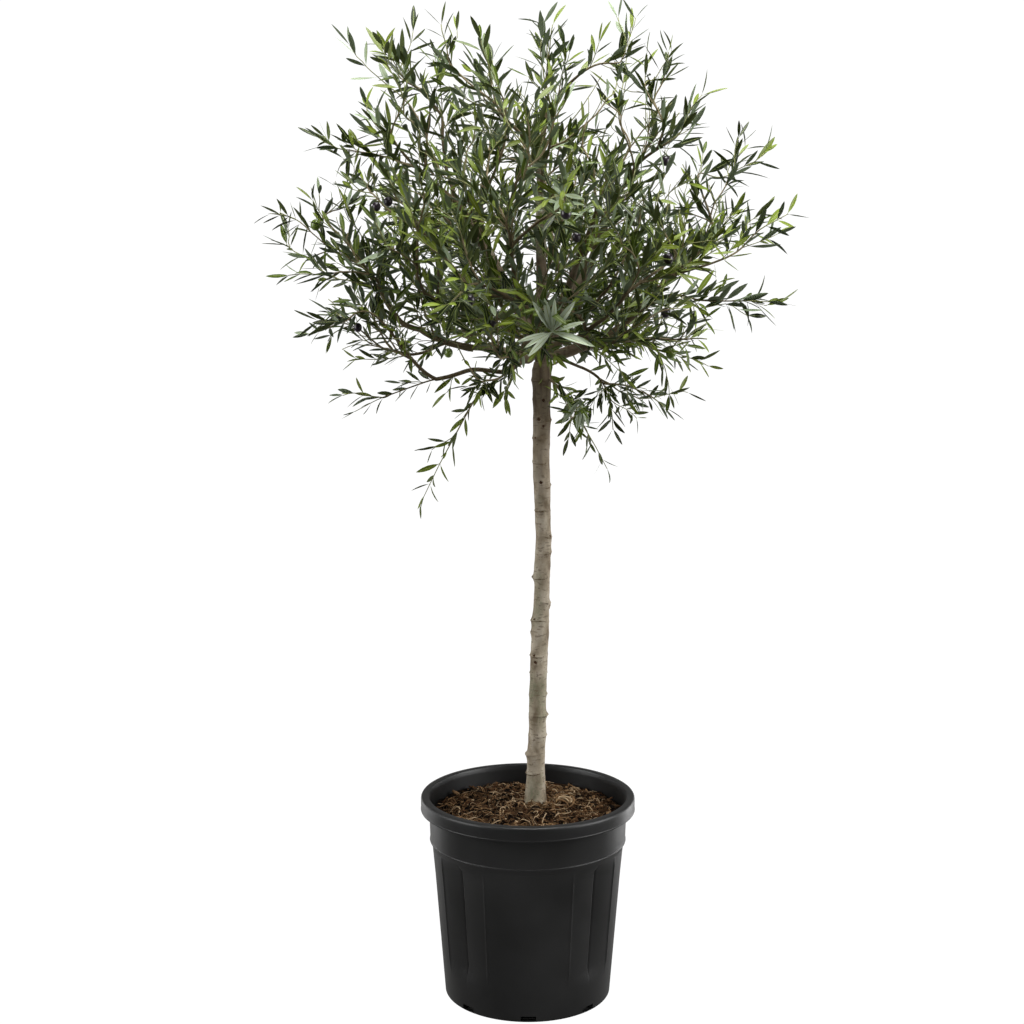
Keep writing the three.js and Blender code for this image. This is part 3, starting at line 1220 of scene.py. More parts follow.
@dataclass
class Stem:
    """The bark's relief on the stem and the boughs."""

    crown: Crown
    rng: np.random.Generator
    ring: float = 1.2 * MM
    sides: int = 72
    bough_sides: int = 20
    sunk: float = 30 * MM
    flare: float = 1.12
    dome: float = 14 * MM
    lobes: int = 5
    lobe_height: float = 1.6 * MM
    lobe_fade: float = 34 * MM
    node: float = 7 * MM
    eye: float = 2.5 * MM
    swelling: float = 0.9 * MM
    roughness: float = 0.22 * MM
    knots: tuple[Knot, ...] = (
        Knot(1.118, 1.75, 4.2 * MM),
        Knot(1.083, 1.25, 5.0 * MM),
        Knot(1.071, 1.80, 3.6 * MM),
        Knot(0.968, 1.45, 4.4 * MM),
        Knot(0.632, 1.15, 4.8 * MM),
        Knot(0.842, 4.3, 4.6 * MM),
        Knot(0.735, 3.3, 4.0 * MM),
        Knot(1.020, 5.2, 4.8 * MM),
    )
    swell: Ripple = field(init=False)
    grain: Ripple = field(init=False)
    ridges: list[Ridge] = field(default_factory=list)

    def __post_init__(self) -> None:
        """Draw the ridges up the stem."""
        self.swell = Ripple(self.rng, 60 * MM)
        self.grain = Ripple(self.rng, 9 * MM, 30)
        low, high = self.crown.trunk.points[0][2], self.crown.fork[2]
        height = low + 30 * MM
        while height < high - 20 * MM:
            share = (height - low) / (high - low)
            self.ridges.append(
                Ridge(
                    height,
                    self.rng.uniform(0, 2 * math.pi),
                    self.rng.uniform(-2.5, 2.5) * MM,
                    self.rng.uniform(0.8, 1.9) * MM * (1.15 - 0.6 * share),
                    self.rng.uniform(1.3, 2.2) * MM,
                    max(self.rng.normal(0.5, 1.3), 0.0) * MM,
                    self.rng.uniform(-0.5, 0.8) + 0.5 * share,
                )
            )
            height += self.rng.uniform(20, 38) * MM * (1 + 0.5 * share)

    def away_from(self, knot: Knot, places: np.ndarray, angles: np.ndarray) -> np.ndarray:
        """Measure how far places on the stem are from a knot, in the knot's own sizes."""
        turn = (angles - knot.facing + math.pi) % (2 * math.pi) - math.pi
        girth = np.interp(knot.height, self.crown.trunk.points[:, 2], self.crown.trunk.radii)
        return np.hypot(turn * girth, places[:, 2] - knot.height) / knot.size

    def above(self, ridge: Ridge, places: np.ndarray, angles: np.ndarray) -> np.ndarray:
        """Measure how far above a ridge's crooked line places are."""
        turn = angles - ridge.facing
        return places[:, 2] - ridge.height - ridge.tilt * (np.cos(turn) + 0.6 * np.sin(2 * turn))

    def from_eye(self, ridge: Ridge, places: np.ndarray, angles: np.ndarray) -> np.ndarray:
        """Measure how far places are from a ridge's leaf scar, in the scar's own sizes."""
        turn = (angles - ridge.facing + math.pi) % (2 * math.pi) - math.pi
        rise = places[:, 2] - ridge.height - ridge.tilt - self.eye
        return np.hypot(turn * self.crown.trunk.radii[0] * 0.6, rise) / self.eye

    def stem_relief(
        self, places: np.ndarray, along: np.ndarray, angles: np.ndarray
    ) -> np.ndarray:
        """Raise the stem's bark: swellings, grain, rings, scars and the lobes of its foot.

        Args:
            places: The corners on the bare tube.
            along: Their distances along the stem.
            angles: Their angles round it.

        Returns:
            What each corner stands out by.
        """
        lift = self.bough_relief(places, along, angles)
        lobes = np.cos(self.lobes * angles + 4 * np.cos(angles))
        lift += self.lobe_height * lobes * np.exp(-(along - self.sunk) / self.lobe_fade)
        for ridge in self.ridges:
            lean = np.cos(angles - ridge.facing)
            off = self.above(ridge, places, angles)
            width = np.where(off < 0, 0.55, 1.5) * ridge.width
            ring = np.exp(-((off / width) ** 2)) + 0.3 * np.exp(-((off / self.node) ** 2))
            lift += ridge.strength * ring * (0.15 + 0.85 * smooth((lean + 1) / 2))
            lift += ridge.bulge * np.exp(-((off / self.node) ** 2)) * smooth(lean) ** 2
            lift += 0.5 * self.eye * np.exp(-(self.from_eye(ridge, places, angles) ** 2))
        for knot in self.knots:
            away = self.away_from(knot, places, angles)
            rim, pit = np.exp(-(((away - 1) / 0.4) ** 2)), np.exp(-((away / 0.6) ** 2))
            lift += knot.size * (0.3 * rim - 0.25 * pit)
        return lift

    def bough_relief(
        self, places: np.ndarray, along: np.ndarray, angles: np.ndarray
    ) -> np.ndarray:
        """Raise the boughs' bark by swellings and grain.

        Args:
            places: The corners on the bare tube.
            along: Their distances along the bough; not used.
            angles: Their angles round it; not used.

        Returns:
            What each corner stands out by.
        """
        fibres = places * np.array([1.0, 1.0, 0.4])
        return self.swell.at(places) * self.swelling + self.grain.at(fibres) * self.roughness

    def build(self) -> bpy.types.Object:
        """Make the stem and the boughs.

        Returns:
            The finished piece.
        """
        builder = MeshBuilder()
        trunk = self.crown.trunk
        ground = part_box("trunk")[0][2]
        foot = np.array([*trunk.points[0][:2], ground - self.sunk])
        top = trunk.points[-1] + UP * self.dome
        stem = Limb(
            np.vstack([foot, trunk.points, top]),
            np.concatenate([trunk.radii[:1] * self.flare, trunk.radii, trunk.radii[-1:] * 0.8]),
        ).resampled(self.ring)
        add_tube(builder, stem.points, stem.radii, self.sides, relief=self.stem_relief)
        self.paint_scars_and_ridge_shade(builder)
        for limb in self.crown.boughs:
            fine = limb.resampled(3 * self.ring)
            add_tube(builder, fine.points, fine.radii, self.bough_sides, relief=self.bough_relief)
        scar = PlainFinish("bark_scar", screen(70, 48, 33), 0.95, 0.2)
        # The crease finish is a painted shade line: darker bark laid on a thin band under each
        # ridge.
        crease = PlainFinish("bark_crease", screen(98, 84, 64), 0.95, 0.2)
        finishes = [BarkFinish().material(), scar.material(), crease.material()]
        piece = builder.build("wood", finishes)
        nodes = [n for n in self.crown.frame["nodes"] if n == "trunk" or n.startswith("bough")]
        settle(piece, nodes)
        return piece

    def paint_scars_and_ridge_shade(self, builder: MeshBuilder) -> None:
        """Give the faces inside the knots and every other leaf scar the scar's slot, and a thin
        band under each ridge, on the side it faces, the slot of a painted shade line.

        Args:
            builder: What the stem was just added to.
        """
        corners = builder.corners[-1]
        quads = builder.faces[-2] - (builder.corner_count - len(corners))
        middles = corners[quads].mean(axis=1)
        rings = (len(corners) - 2) // self.sides
        angles = np.tile((np.arange(self.sides) + 0.5) * (2 * math.pi / self.sides), rings - 1)
        slots = np.zeros(len(quads), dtype=int)
        for knot in self.knots:
            slots[self.away_from(knot, middles, angles) < 0.62] = 1
        for i, ridge in enumerate(self.ridges):
            # A thin band just under each ridge, on the side it faces, gets the darker bark of a
            # painted shade line.
            under = self.above(ridge, middles, angles) + ridge.width * 0.75
            shade_side = np.cos(angles - ridge.facing + 0.5 * np.sin(3 * angles)) > ridge.crease
            slots[(np.abs(under) < self.ring * 0.6) & shade_side] = 2
            if i % 2 == 0:
                slots[self.from_eye(ridge, middles, angles) < 0.62] = 1
        builder.slots[-2] = slots


# ---- Twigs --------------------------------------------------------------------------------------


@dataclass
class Twigs:
    """All wood that grew from the boughs, in the tints of its age."""

    wood: Branching
    radii: np.ndarray
    grown_from: int
    shoot_radius: float = 1.1 * MM
    twig_radius: float = 2.1 * MM

    def build(self) -> bpy.types.Object:
        """Make the twigs.

        Returns:
            The finished piece.
        """
        builder = MeshBuilder()
        for chain in self.wood.chains(self.radii):
            keep = [i for i in chain if i >= self.grown_from]
            if not keep:
                continue
            first = chain.index(keep[0])
            line = ([chain[first - 1]] if first else []) + keep
            if len(line) < 2:
                continue
            radii = self.radii[line].copy()
            radii[0] = radii[1]
            sides = 5 if radii.max() < self.twig_radius else 8
            thick = np.digitize(radii[1:], [self.shoot_radius, self.twig_radius])
            slots = np.repeat(thick, sides)
            add_tube(builder, self.wood.places[line], radii, sides)
            builder.slots[-2] = slots
            builder.slots[-1] = np.repeat([slots[0], slots[-1]], sides)
        piece = builder.build("twigs", [tint.value.material() for tint in WoodTint])
        settle(piece, [])
        return piece


# ---- Leaves -------------------------------------------------------------------------------------


@dataclass(frozen=True)
class LeafShape:
    """One narrow leaf of length one: a blade of two skins with a midrib, on a short stalk."""

    stations: tuple[float, ...] = (0.0, 0.1, 0.26, 0.48, 0.7, 0.89)
    breadths: tuple[float, ...] = (0.09, 0.13, 0.68, 1.0, 0.88, 0.46)
    rib_share: float = 0.09
    thickness: float = 0.012

    def points(self) -> tuple[np.ndarray, np.ndarray, np.ndarray]:
        """Lay out the corners.

        Returns:
            How far each corner is along the leaf, how far across it in half breadths, and how
            far above the blade's middle plane in leaf lengths.
        """
        x, y, z = [], [], []
        for along, breadth in zip(self.stations, self.breadths):
            rib = self.rib_share * breadth
            x += [along] * 7
            y += [-breadth, -rib, rib, breadth, breadth, 0.0, -breadth]
            z += [0.0, 0.0, 0.0, 0.0, 0.0, -self.thickness * breadth, 0.0]
        return np.array(x + [1.0, 1.0]), np.array(y + [0.0, 0.0]), np.array(z + [0.0, 0.0])

    def faces(self) -> tuple[np.ndarray, np.ndarray]:
        """Join the corners, splitting both skins along the same diagonals.

        A twisted leaf's cells are not flat, so skins split along different diagonals would cross.

        Returns:
            The triangles and their parts; a part is 0 for the upper skin, 1 for the under skin
            and 2 for the midrib.
        """
        across = [(0, 1, 0), (1, 2, 2), (2, 3, 0), (4, 5, 1), (5, 6, 1)]
        outer_first = (0, 4)
        faces, parts = [], []
        last = len(self.stations) - 1
        for row in range(last):
            for a, b, part in across:
                near, far = (7 * row + a, 7 * row + b), (7 * row + 7 + a, 7 * row + 7 + b)
                if a in outer_first:
                    faces += [(near[0], near[1], far[0]), (near[1], far[1], far[0])]
                else:
                    faces += [(near[0], near[1], far[1]), (near[0], far[1], far[0])]
                parts += [part, part]
        for a, b, part in across:
            faces.append((7 * last + a, 7 * last + b, 7 * last + 7 + (part == 1)))
            parts.append(part)
        return np.array(faces), np.array(parts)


@dataclass
class LeafRow:
    """What is known of every leaf, one entry for each."""

    places: list[np.ndarray] = field(default_factory=list)
    headings: list[np.ndarray] = field(default_factory=list)
    facings: list[np.ndarray] = field(default_factory=list)
    lengths: list[float] = field(default_factory=list)
    tints: list[int] = field(default_factory=list)
    backs: list[int] = field(default_factory=list)

    def add(
        self,
        place: np.ndarray,
        heading: np.ndarray,
        facing: np.ndarray,
        length: float,
        tints: tuple[int, int],
    ) -> None:
        """Add a leaf.

        Args:
            place: Where its stalk starts.
            heading: Which way it points.
            facing: Which way its upper side faces.
            length: Its length.
            tints: The numbers of its upper tint and of its under tint.
        """
        self.places.append(place)
        self.headings.append(heading)
        self.facings.append(facing)
        self.lengths.append(length)
        self.tints.append(tints[0])
        self.backs.append(tints[1])


@dataclass
class Foliage:
    """Leaves in crossed pairs along the young wood, tinted spray by spray."""

    crown: Crown
    radii: np.ndarray
    rng: np.random.Generator
    length: float = 51 * MM
    length_spread: float = 6 * MM
    slimness: float = 0.09
    vigour: tuple[float, float] = (0.88, 1.16)
    pair_gap: tuple[float, float] = (21.5 * MM, 31.5 * MM)
    long_shoot: float = 1.05
    skirt_share: float = 0.78
    skirt_height: float = 60 * MM
    fresh_share: float = 0.3
    thickest: float = 3.0 * MM
    missing: float = 0.08
    gap_missing: float = 0.75
    sage_share: float = 0.35
    bare_tip: float = 2 * MM
    young_pairs: float = 3.5
    fresh_pairs: int = 2
    tip_crowding: float = 0.3
    pair_swing: float = 0.15
    lean: float = 0.86
    lean_spread: float = 0.18
    tip_lean: float = 0.4
    tip_shrink: float = 0.2
    length_limits: tuple[float, float] = (36 * MM, 64 * MM)
    whorl_lift: tuple[float, float] = (0.1, 0.6)
    whorl_swing: float = 0.2
    # The star's leaves are mostly the pale tint: a painted sheen on their own grey.
    whorl_tints: tuple[LeafTint, ...] = (
        LeafTint.GREY, LeafTint.PALE_SHEEN, LeafTint.PALE_SHEEN, LeafTint.PALE_SHEEN,
    )
    sectors: int = 6
    tint_shares: tuple[float, ...] = (0.36, 0.34, 0.18, 0.06, 0.06)
    row: LeafRow = field(default_factory=LeafRow)

    def walk(self) -> None:
        """Set leaves along every shoot, from its tip backwards."""
        wood = self.crown.wood
        fresh_tint = list(LeafTint).index(LeafTint.FRESH)
        taken = np.zeros(wood.count, dtype=bool)
        for end, reach in wood.leafy.items():
            tint = int(self.rng.choice(len(self.tint_shares), p=self.tint_shares))
            back = int(self.rng.random() < self.sage_share)
            fresh = self.rng.random() < self.fresh_share
            low = wood.places[end][2] < self.crown.fork[2] + self.skirt_height
            stretch = self.long_shoot if end in self.crown.long_shoots and not low else 1.0
            stretch *= self.skirt_share**0.5 if low else 1.0
            azimuth = self.rng.uniform(0, math.pi)
            vigour = self.rng.uniform(*self.vigour) * (stretch**2 if low else stretch**0.7)
            place, gone, until, pair = end, 0.0, self.bare_tip, 0
            while place >= 0 and not taken[place] and gone < reach:
                taken[place] = True
                parent = wood.parents[place]
                if self.radii[place] > self.thickest or parent < 0:
                    break
                span = float(np.linalg.norm(wood.places[place] - wood.places[parent]))
                while until < gone + span:
                    share = (until - gone) / span
                    at = wood.places[place] * (1 - share) + wood.places[parent] * share
                    young = max(1 - pair / self.young_pairs, 0.0)
                    shade = fresh_tint if fresh and pair < self.fresh_pairs else tint
                    open_share = self.crown.thinning(at) if end in self.crown.thinned else 0.0
                    if self.rng.random() > open_share * self.gap_missing:
                        self.pair(at, wood.headings[place], azimuth, young, vigour, (shade, back))
                    azimuth += math.pi / 2 + self.rng.normal() * self.pair_swing
                    crowding = 1 - self.tip_crowding * young
                    until += self.rng.uniform(*self.pair_gap) * stretch * crowding
                    pair += 1
                gone += span
                place = parent
        middle = float(np.median(self.row.lengths)) / MM
        LOG.info("foliage: %d leaves, half of them over %.0f mm", len(self.row.lengths), middle)

    def pair(
        self,
        place: np.ndarray,
        heading: np.ndarray,
        azimuth: float,
        young: float,
        vigour: float,
        tints: tuple[int, int],
    ) -> None:
        """Set an opposite pair of leaves.

        Args:
            place: Where they sit on the shoot.
            heading: Which way the shoot goes there.
            azimuth: The pair's angle round the shoot.
            young: 1 at the tip of the shoot, 0 further back.
            vigour: How large the shoot's leaves are.
            tints: The numbers of the upper and under tints.
        """
        first = unit(np.cross(heading, UP + self.rng.normal(size=3) * 0.05))
        second = np.cross(heading, first)
        for turn in (0.0, math.pi):
            if self.rng.random() < self.missing:
                continue
            side = first * math.cos(azimuth + turn) + second * math.sin(azimuth + turn)
            angle = self.rng.normal(self.lean - self.tip_lean * young, self.lean_spread)
            way = heading * math.cos(angle) + side * math.sin(angle)
            way = unit(way + UP * self.rng.normal(0.02, 0.14) + self.rng.normal(size=3) * 0.09)
            facing = unit(heading - side * 0.2) * 0.75 + UP * 0.6 + self.rng.normal(size=3) * 0.3
            length = np.clip(self.rng.normal(self.length, self.length_spread), *self.length_limits)
            shrunk = length * vigour * (1 - self.tip_shrink * young)
            self.row.add(place, way, facing, shrunk, tints)

    def set_whorls(self) -> None:
        """Set the stars of large leaves."""
        out = unit(-REARWARD + np.array([0.1, 0.0, 0.15]))
        numbers = [list(LeafTint).index(tint) for tint in self.whorl_tints]
        for whorl in self.crown.whorls:
            for turn in np.linspace(*whorl.turns, whorl.leaves):
                turn += self.rng.normal() * self.whorl_swing
                side = np.array([math.cos(turn), 0.0, math.sin(turn)])
                way = unit(side + out * self.rng.uniform(*self.whorl_lift))
                length = self.rng.uniform(*whorl.length)
                facing = out + UP * 0.4 + self.rng.normal(size=3) * 0.25
                tint = int(self.rng.choice(numbers))
                self.row.add(np.array(whorl.place), way, facing, length, (tint, 0))

    def build(self) -> list[bpy.types.Object]:
        """Make the leaves, in pieces by their direction from the stem.

        Returns:
            The finished pieces.
        """
        self.walk()
        row = self.row
        places = np.array(row.places)
        headings = unit(np.array(row.headings))
        facings = np.array(row.facings)
        facings = unit(facings - headings * (facings * headings).sum(axis=1, keepdims=True))
        sides = np.cross(facings, headings)
        lengths = np.array(row.lengths)
        count = len(lengths)
        slim = self.slimness * (lengths / self.length) ** -0.15
        slim *= self.rng.uniform(0.88, 1.12, size=count)
        bends = self.rng.normal(-0.1, 0.09, size=count)
        folds = self.rng.uniform(-0.25, 0.5, size=count)
        twists = self.rng.normal(0, 0.25, size=count)
        shape = LeafShape()
        x, y, z = shape.points()
        across = y[None, :] * slim[:, None]
        above = z[None, :] + np.abs(across) * folds[:, None]
        turn = twists[:, None] * x[None, :]
        side_by = across * np.cos(turn) - above * np.sin(turn)
        up_by = across * np.sin(turn) + above * np.cos(turn) + bends[:, None] * x[None, :] ** 2
        offsets = (
            x[None, :, None] * headings[:, None, :]
            + side_by[:, :, None] * sides[:, None, :]
            + up_by[:, :, None] * facings[:, None, :]
        )
        corners = places[:, None, :] + offsets * lengths[:, None, None]
        sector_of = self.sector(places)
        tints = [*LeafTint, *LeafBack]
        materials = [tint.value.material() for tint in tints]
        part_slots = np.stack(
            [np.array(row.tints), len(LeafTint) + np.array(row.backs),
             np.full(count, tints.index(LeafBack.RIB))],
            axis=1,
        )
        faces, parts = shape.faces()
        pieces = []
        for sector in range(self.sectors):
            chosen = np.flatnonzero(sector_of == sector)
            shift = (np.arange(len(chosen)) * len(x))[:, None, None]
            builder = MeshBuilder()
            builder.add(
                corners[chosen].reshape(-1, 3),
                (faces[None] + shift).reshape(-1, 3),
                part_slots[chosen][:, parts].ravel(),
            )
            piece = builder.build(f"leaves_{sector + 1}", materials)
            settle(piece, self.nodes_in(sector))
            pieces.append(piece)
        return pieces

    def sector(self, places: np.ndarray) -> np.ndarray:
        """Tell in which sector round the stem places lie.

        Args:
            places: Rows of points.

        Returns:
            The numbers of their sectors.
        """
        angles = np.arctan2(places[:, 1], places[:, 0]) % (2 * math.pi)
        return (angles / (2 * math.pi) * self.sectors).astype(int) % self.sectors

    def nodes_in(self, sector: int) -> list[str]:
        """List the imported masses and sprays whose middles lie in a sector."""
        found = []
        for name in self.crown.frame["nodes"]:
            if name.startswith(("foliage", "spray")):
                low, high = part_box(name)
                middle = np.array((low + high) / 2)
                if self.sector(middle[None])[0] == sector:
                    found.append(name)
        return found


# ---- Fruit --------------------------------------------------------------------------------------


@dataclass
class Fruit:
    """A few olives that hang on short stalks from leafy shoots."""

    crown: Crown
    rng: np.random.Generator
    length: float = 18.5 * MM
    width: float = 16.5 * MM
    stalk: float = 13 * MM
    count: int = 24
    around: int = 14
    rows: int = 14
    ripe_share: float = 0.6
    outer_from: float = 0.55
    below_fork: float = 0.05
    stalk_radius: float = 0.6 * MM

    def build(self) -> bpy.types.Object:
        """Make the olives and their stalks.

        Returns:
            The finished piece.
        """
        wood = self.crown.wood
        lowest = self.crown.fork[2] - self.below_fork
        ends = np.array([end for end in wood.leafy if wood.places[end, 2] > lowest])
        out = np.linalg.norm((wood.places[ends] - self.crown.middle)[:, :2], axis=1)
        outer = ends[out > np.quantile(out, self.outer_from)]
        ripe, unripe, stalk = (list(FruitTint).index(tint) for tint in FruitTint)
        builder = MeshBuilder()
        for end in self.rng.choice(outer, size=self.count, replace=False):
            place = end
            for _ in range(int(self.rng.integers(2, 7))):
                place = wood.parents[place]
            side = unit(self.rng.normal(size=3) * np.array([1, 1, 0.1]))
            root = wood.places[place]
            low = root + side * self.stalk * 0.6 - UP * self.stalk
            knee = root + side * self.stalk * 0.5 - UP * self.stalk * 0.35
            path = Limb(np.array([root, knee, low]), np.full(3, self.stalk_radius))
            line = path.resampled(3 * MM)
            slot = ripe if self.rng.random() < self.ripe_share else unripe
            add_tube(builder, line.points, line.radii, 5, slot=stalk)
            self.add_olive(builder, low, unit(side * 0.2 - UP), slot)
        piece = builder.build("olives", [tint.value.material() for tint in FruitTint])
        settle(piece, [])
        return piece

    def add_olive(
        self, builder: MeshBuilder, top: np.ndarray, axis: np.ndarray, slot: int
    ) -> None:
        """Add one olive.

        Args:
            builder: What it is added to.
            top: Where it hangs from.
            axis: The direction from its stalk to its end.
            slot: The material slot.
        """
        size = self.rng.uniform(0.85, 1.1)
        turns = np.linspace(0.06, math.pi - 0.04, self.rows)
        along = (1 - np.cos(turns)) / 2
        radii = np.sin(turns) ** 0.9 * (self.width / 2 * size)
        points = top + axis * (along * self.length * size)[:, None]
        add_tube(builder, points, radii, self.around, slot=slot)


# ---- Potting mix --------------------------------------------------------------------------------


@dataclass
class PottingMix:
    """The mound of potting mix, with loose fibres and chips of bark on it."""

    foot: tuple[float, float]
    rng: np.random.Generator
    edge_drop: float = 15 * MM
    settled: float = 4 * MM
    lumps: float = 3.2 * MM
    fibres: int = 1350
    foot_fibres: int = 120
    chips: int = 1300
    fibre_length: tuple[float, float] = (14 * MM, 64 * MM)
    fibre_radius: tuple[float, float] = (0.3 * MM, 1.3 * MM)
    fibre_steps: int = 9
    curl: float = 0.36
    chip_size: tuple[float, float] = (2.5 * MM, 9 * MM)
    foot_ring: tuple[float, float] = (18 * MM, 34 * MM)
    shred_place: tuple[float, float] = (0.066, -0.004)
    shred_half: tuple[float, float] = (21 * MM, 17 * MM)
    shred_strands: int = 7
    shred_steps: int = 22
    shred_tilt: float = 0.45
    fibre_inset: float = 22 * MM
    chip_inset: float = 8 * MM
    chip_tilt: float = 0.7
    fibre_shares: tuple[float, ...] = (0.16, 0.26, 0.27, 0.15, 0.16)
    chip_shares: tuple[float, ...] = (0.05, 0.17, 0.3, 0.2, 0.28)
    shred_shares: tuple[float, ...] = (0.2, 0.5, 0.3)
    wall_gap: float = 4 * MM
    radius: float = field(init=False)
    top: float = field(init=False)
    ripple: Ripple = field(init=False)

    def __post_init__(self) -> None:
        """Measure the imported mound."""
        low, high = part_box("soil")
        self.radius = (high.x - low.x) / 2
        self.top = high.z - self.settled
        self.ripple = Ripple(self.rng, 26 * MM)

    def height_at(self, places: np.ndarray) -> np.ndarray:
        """Tell the height of the mound at places.

        Args:
            places: Rows of points.

        Returns:
            The heights.
        """
        out = np.linalg.norm(places[:, :2], axis=1) / self.radius
        flat = places * np.array([1.0, 1.0, 0.0])
        return self.top - self.edge_drop * smooth(out * 0.9) + self.ripple.at(flat) * self.lumps

    def build_mound(self) -> bpy.types.Object:
        """Make the mound.

        Returns:
            The finished piece.
        """
        rings, around = 60, 180
        angles = np.arange(around) * (2 * math.pi / around)
        shares = np.linspace(0.02, 1.0, rings)
        flat = np.stack([
            np.outer(shares, np.cos(angles)), np.outer(shares, np.sin(angles)),
            np.zeros((rings, around)),
        ], axis=-1).reshape(-1, 3) * self.radius
        flat[:, 2] = self.height_at(flat)
        skirt = flat[-around:] - UP * 40 * MM
        corners = np.vstack([flat, skirt])
        builder = MeshBuilder()
        builder.add(corners, ring_quads(rings + 1, around, flipped=True))
        piece = builder.build("potting_mix", [MixFinish().material()])
        settle(piece, ["soil"])
        return piece

    def scatter(self, count: int, inset: float) -> np.ndarray:
        """Draw places on the mound.

        Args:
            count: How many.
            inset: The distance kept from the pot's wall.

        Returns:
            The places on the surface.
        """
        out = np.sqrt(self.rng.uniform(0, 1, size=count)) * (self.radius - inset)
        turn = self.rng.uniform(0, 2 * math.pi, size=count)
        places = np.stack([out * np.cos(turn), out * np.sin(turn), np.zeros(count)], axis=1)
        places[:, 2] = self.height_at(places)
        return places

    def build_litter(self) -> bpy.types.Object:
        """Make the fibres and the chips.

        Returns:
            The finished piece.
        """
        builder = MeshBuilder()
        tints = list(ChipTint)
        for place in self.scatter(self.fibres, self.fibre_inset):
            slot = int(self.rng.choice(len(tints), p=self.fibre_shares))
            self.add_fibre(builder, place, slot)
        for _ in range(self.foot_fibres):
            turn, out = self.rng.uniform(0, 2 * math.pi), self.rng.uniform(*self.foot_ring)
            way = np.array([math.cos(turn), math.sin(turn), 0.0])
            place = np.array([*self.foot, 0.0]) + out * way
            self.add_fibre(builder, place, int(self.rng.integers(0, tints.index(ChipTint.DARK))))
        for place in self.scatter(self.chips, self.chip_inset):
            size = self.rng.uniform(*self.chip_size)
            shape = np.array([size, size * self.rng.uniform(0.25, 0.55), size * 0.2])
            slot = int(self.rng.choice(len(tints), p=self.chip_shares))
            raised = place + UP * self.rng.uniform(0, 2) * MM
            self.add_chip(builder, raised, shape, slot, self.chip_tilt)
        for share in np.linspace(0.3, 1.0, self.shred_strands):
            self.add_strand(builder, share)
        piece = builder.build("litter", [tint.value.material() for tint in tints])
        settle(piece, [])
        return piece

    def add_strand(self, builder: MeshBuilder, share: float) -> None:
        """Add a strand of the large curled shred of bark beside the stem.

        Args:
            builder: What it is added to.
            share: How large its bow is, as a share of the largest.
        """
        steps = self.shred_steps
        start, end = self.rng.uniform(-1.2, 0.2), self.rng.uniform(2.4, 3.8)
        bow = np.linspace(start, end, steps)
        wide, deep = np.array(self.shred_half) * share * self.rng.uniform(0.8, 1.25, size=2)
        run = np.stack([wide * np.cos(bow), deep * np.sin(bow), np.zeros(steps)], axis=1)
        run[:, 2] = run[:, 1] * self.shred_tilt + run[:, 0] * self.rng.uniform(-0.3, 0.1)
        middle = np.array([[*self.shred_place, 0.0]])
        middle[:, 2] = self.height_at(middle) + self.shred_half[1] * self.shred_tilt
        points = middle + run + self.rng.normal(size=3) * 2 * MM
        slot = int(self.rng.choice(len(self.shred_shares), p=self.shred_shares))
        taper = 0.5 + 0.5 * np.sin(np.linspace(0.2, math.pi - 0.2, steps))
        add_tube(builder, points, self.rng.uniform(1.0, 2.0) * MM * taper, 5, slot=slot)

    def add_fibre(self, builder: MeshBuilder, place: np.ndarray, slot: int) -> None:
        """Add a curled fibre that lies on the mound.

        Args:
            builder: What it is added to.
            place: Where its middle lies.
            slot: The material slot.
        """
        length = self.rng.uniform(*self.fibre_length)
        steps = self.fibre_steps
        first_turn = self.rng.uniform(0, 2 * math.pi)
        turn = first_turn + np.cumsum(self.rng.normal(0, self.curl, size=steps))
        run = np.stack([np.cos(turn), np.sin(turn), np.zeros(steps)], axis=1) * length / steps
        points = place + np.cumsum(run, axis=0) - run.sum(axis=0) / 2
        out = np.linalg.norm(points[:, :2], axis=1).max()
        furthest = self.radius - self.wall_gap
        if out > furthest:
            points[:, :2] *= furthest / out
        arch = np.sin(np.linspace(0, math.pi, steps)) * self.rng.uniform(0.0, 6.5) * MM
        points[:, 2] = self.height_at(points) + self.rng.uniform(0.0, 2.5) * MM + arch
        least, most = self.fibre_radius
        radius = least + (most - least) * self.rng.random() ** 2
        taper = 0.45 + 0.55 * np.sin(np.linspace(0.25, math.pi - 0.25, steps))
        add_tube(builder, points, radius * taper, 4, slot=slot)

    def add_chip(
        self,
        builder: MeshBuilder,
        place: np.ndarray,
        half: np.ndarray,
        slot: int,
        tilt: float,
    ) -> None:
        """Add an uneven chip of bark.

        Args:
            builder: What it is added to.
            place: Its middle.
            half: Its half sizes.
            slot: The material slot.
            tilt: How steeply it may lie.
        """
        around = 7
        angles = np.arange(around) * (2 * math.pi / around)
        wave = self.rng.uniform(0.75, 1.1, size=around)
        rim = np.stack([np.cos(angles) * wave, np.sin(angles) * wave, np.zeros(around)], axis=1)
        layers = [rim * 0.8 + UP, rim + UP * 0.4, rim - UP * 0.4, rim * 0.8 - UP]
        corners = np.vstack([*layers, UP[None], -UP[None]]) * half
        normal = unit(UP + self.rng.normal(size=3) * tilt * 0.6)
        first = unit(np.cross(normal, self.rng.normal(size=3)))
        second = np.cross(normal, first)
        placed = place + corners @ np.stack([first, second, normal])
        builder.add(placed, ring_quads(len(layers), around, flipped=True), slot)
        builder.face(end_caps(len(layers), around, flipped=True), slot)


# ---- Pot ----------------------------------------------------------------------------------------


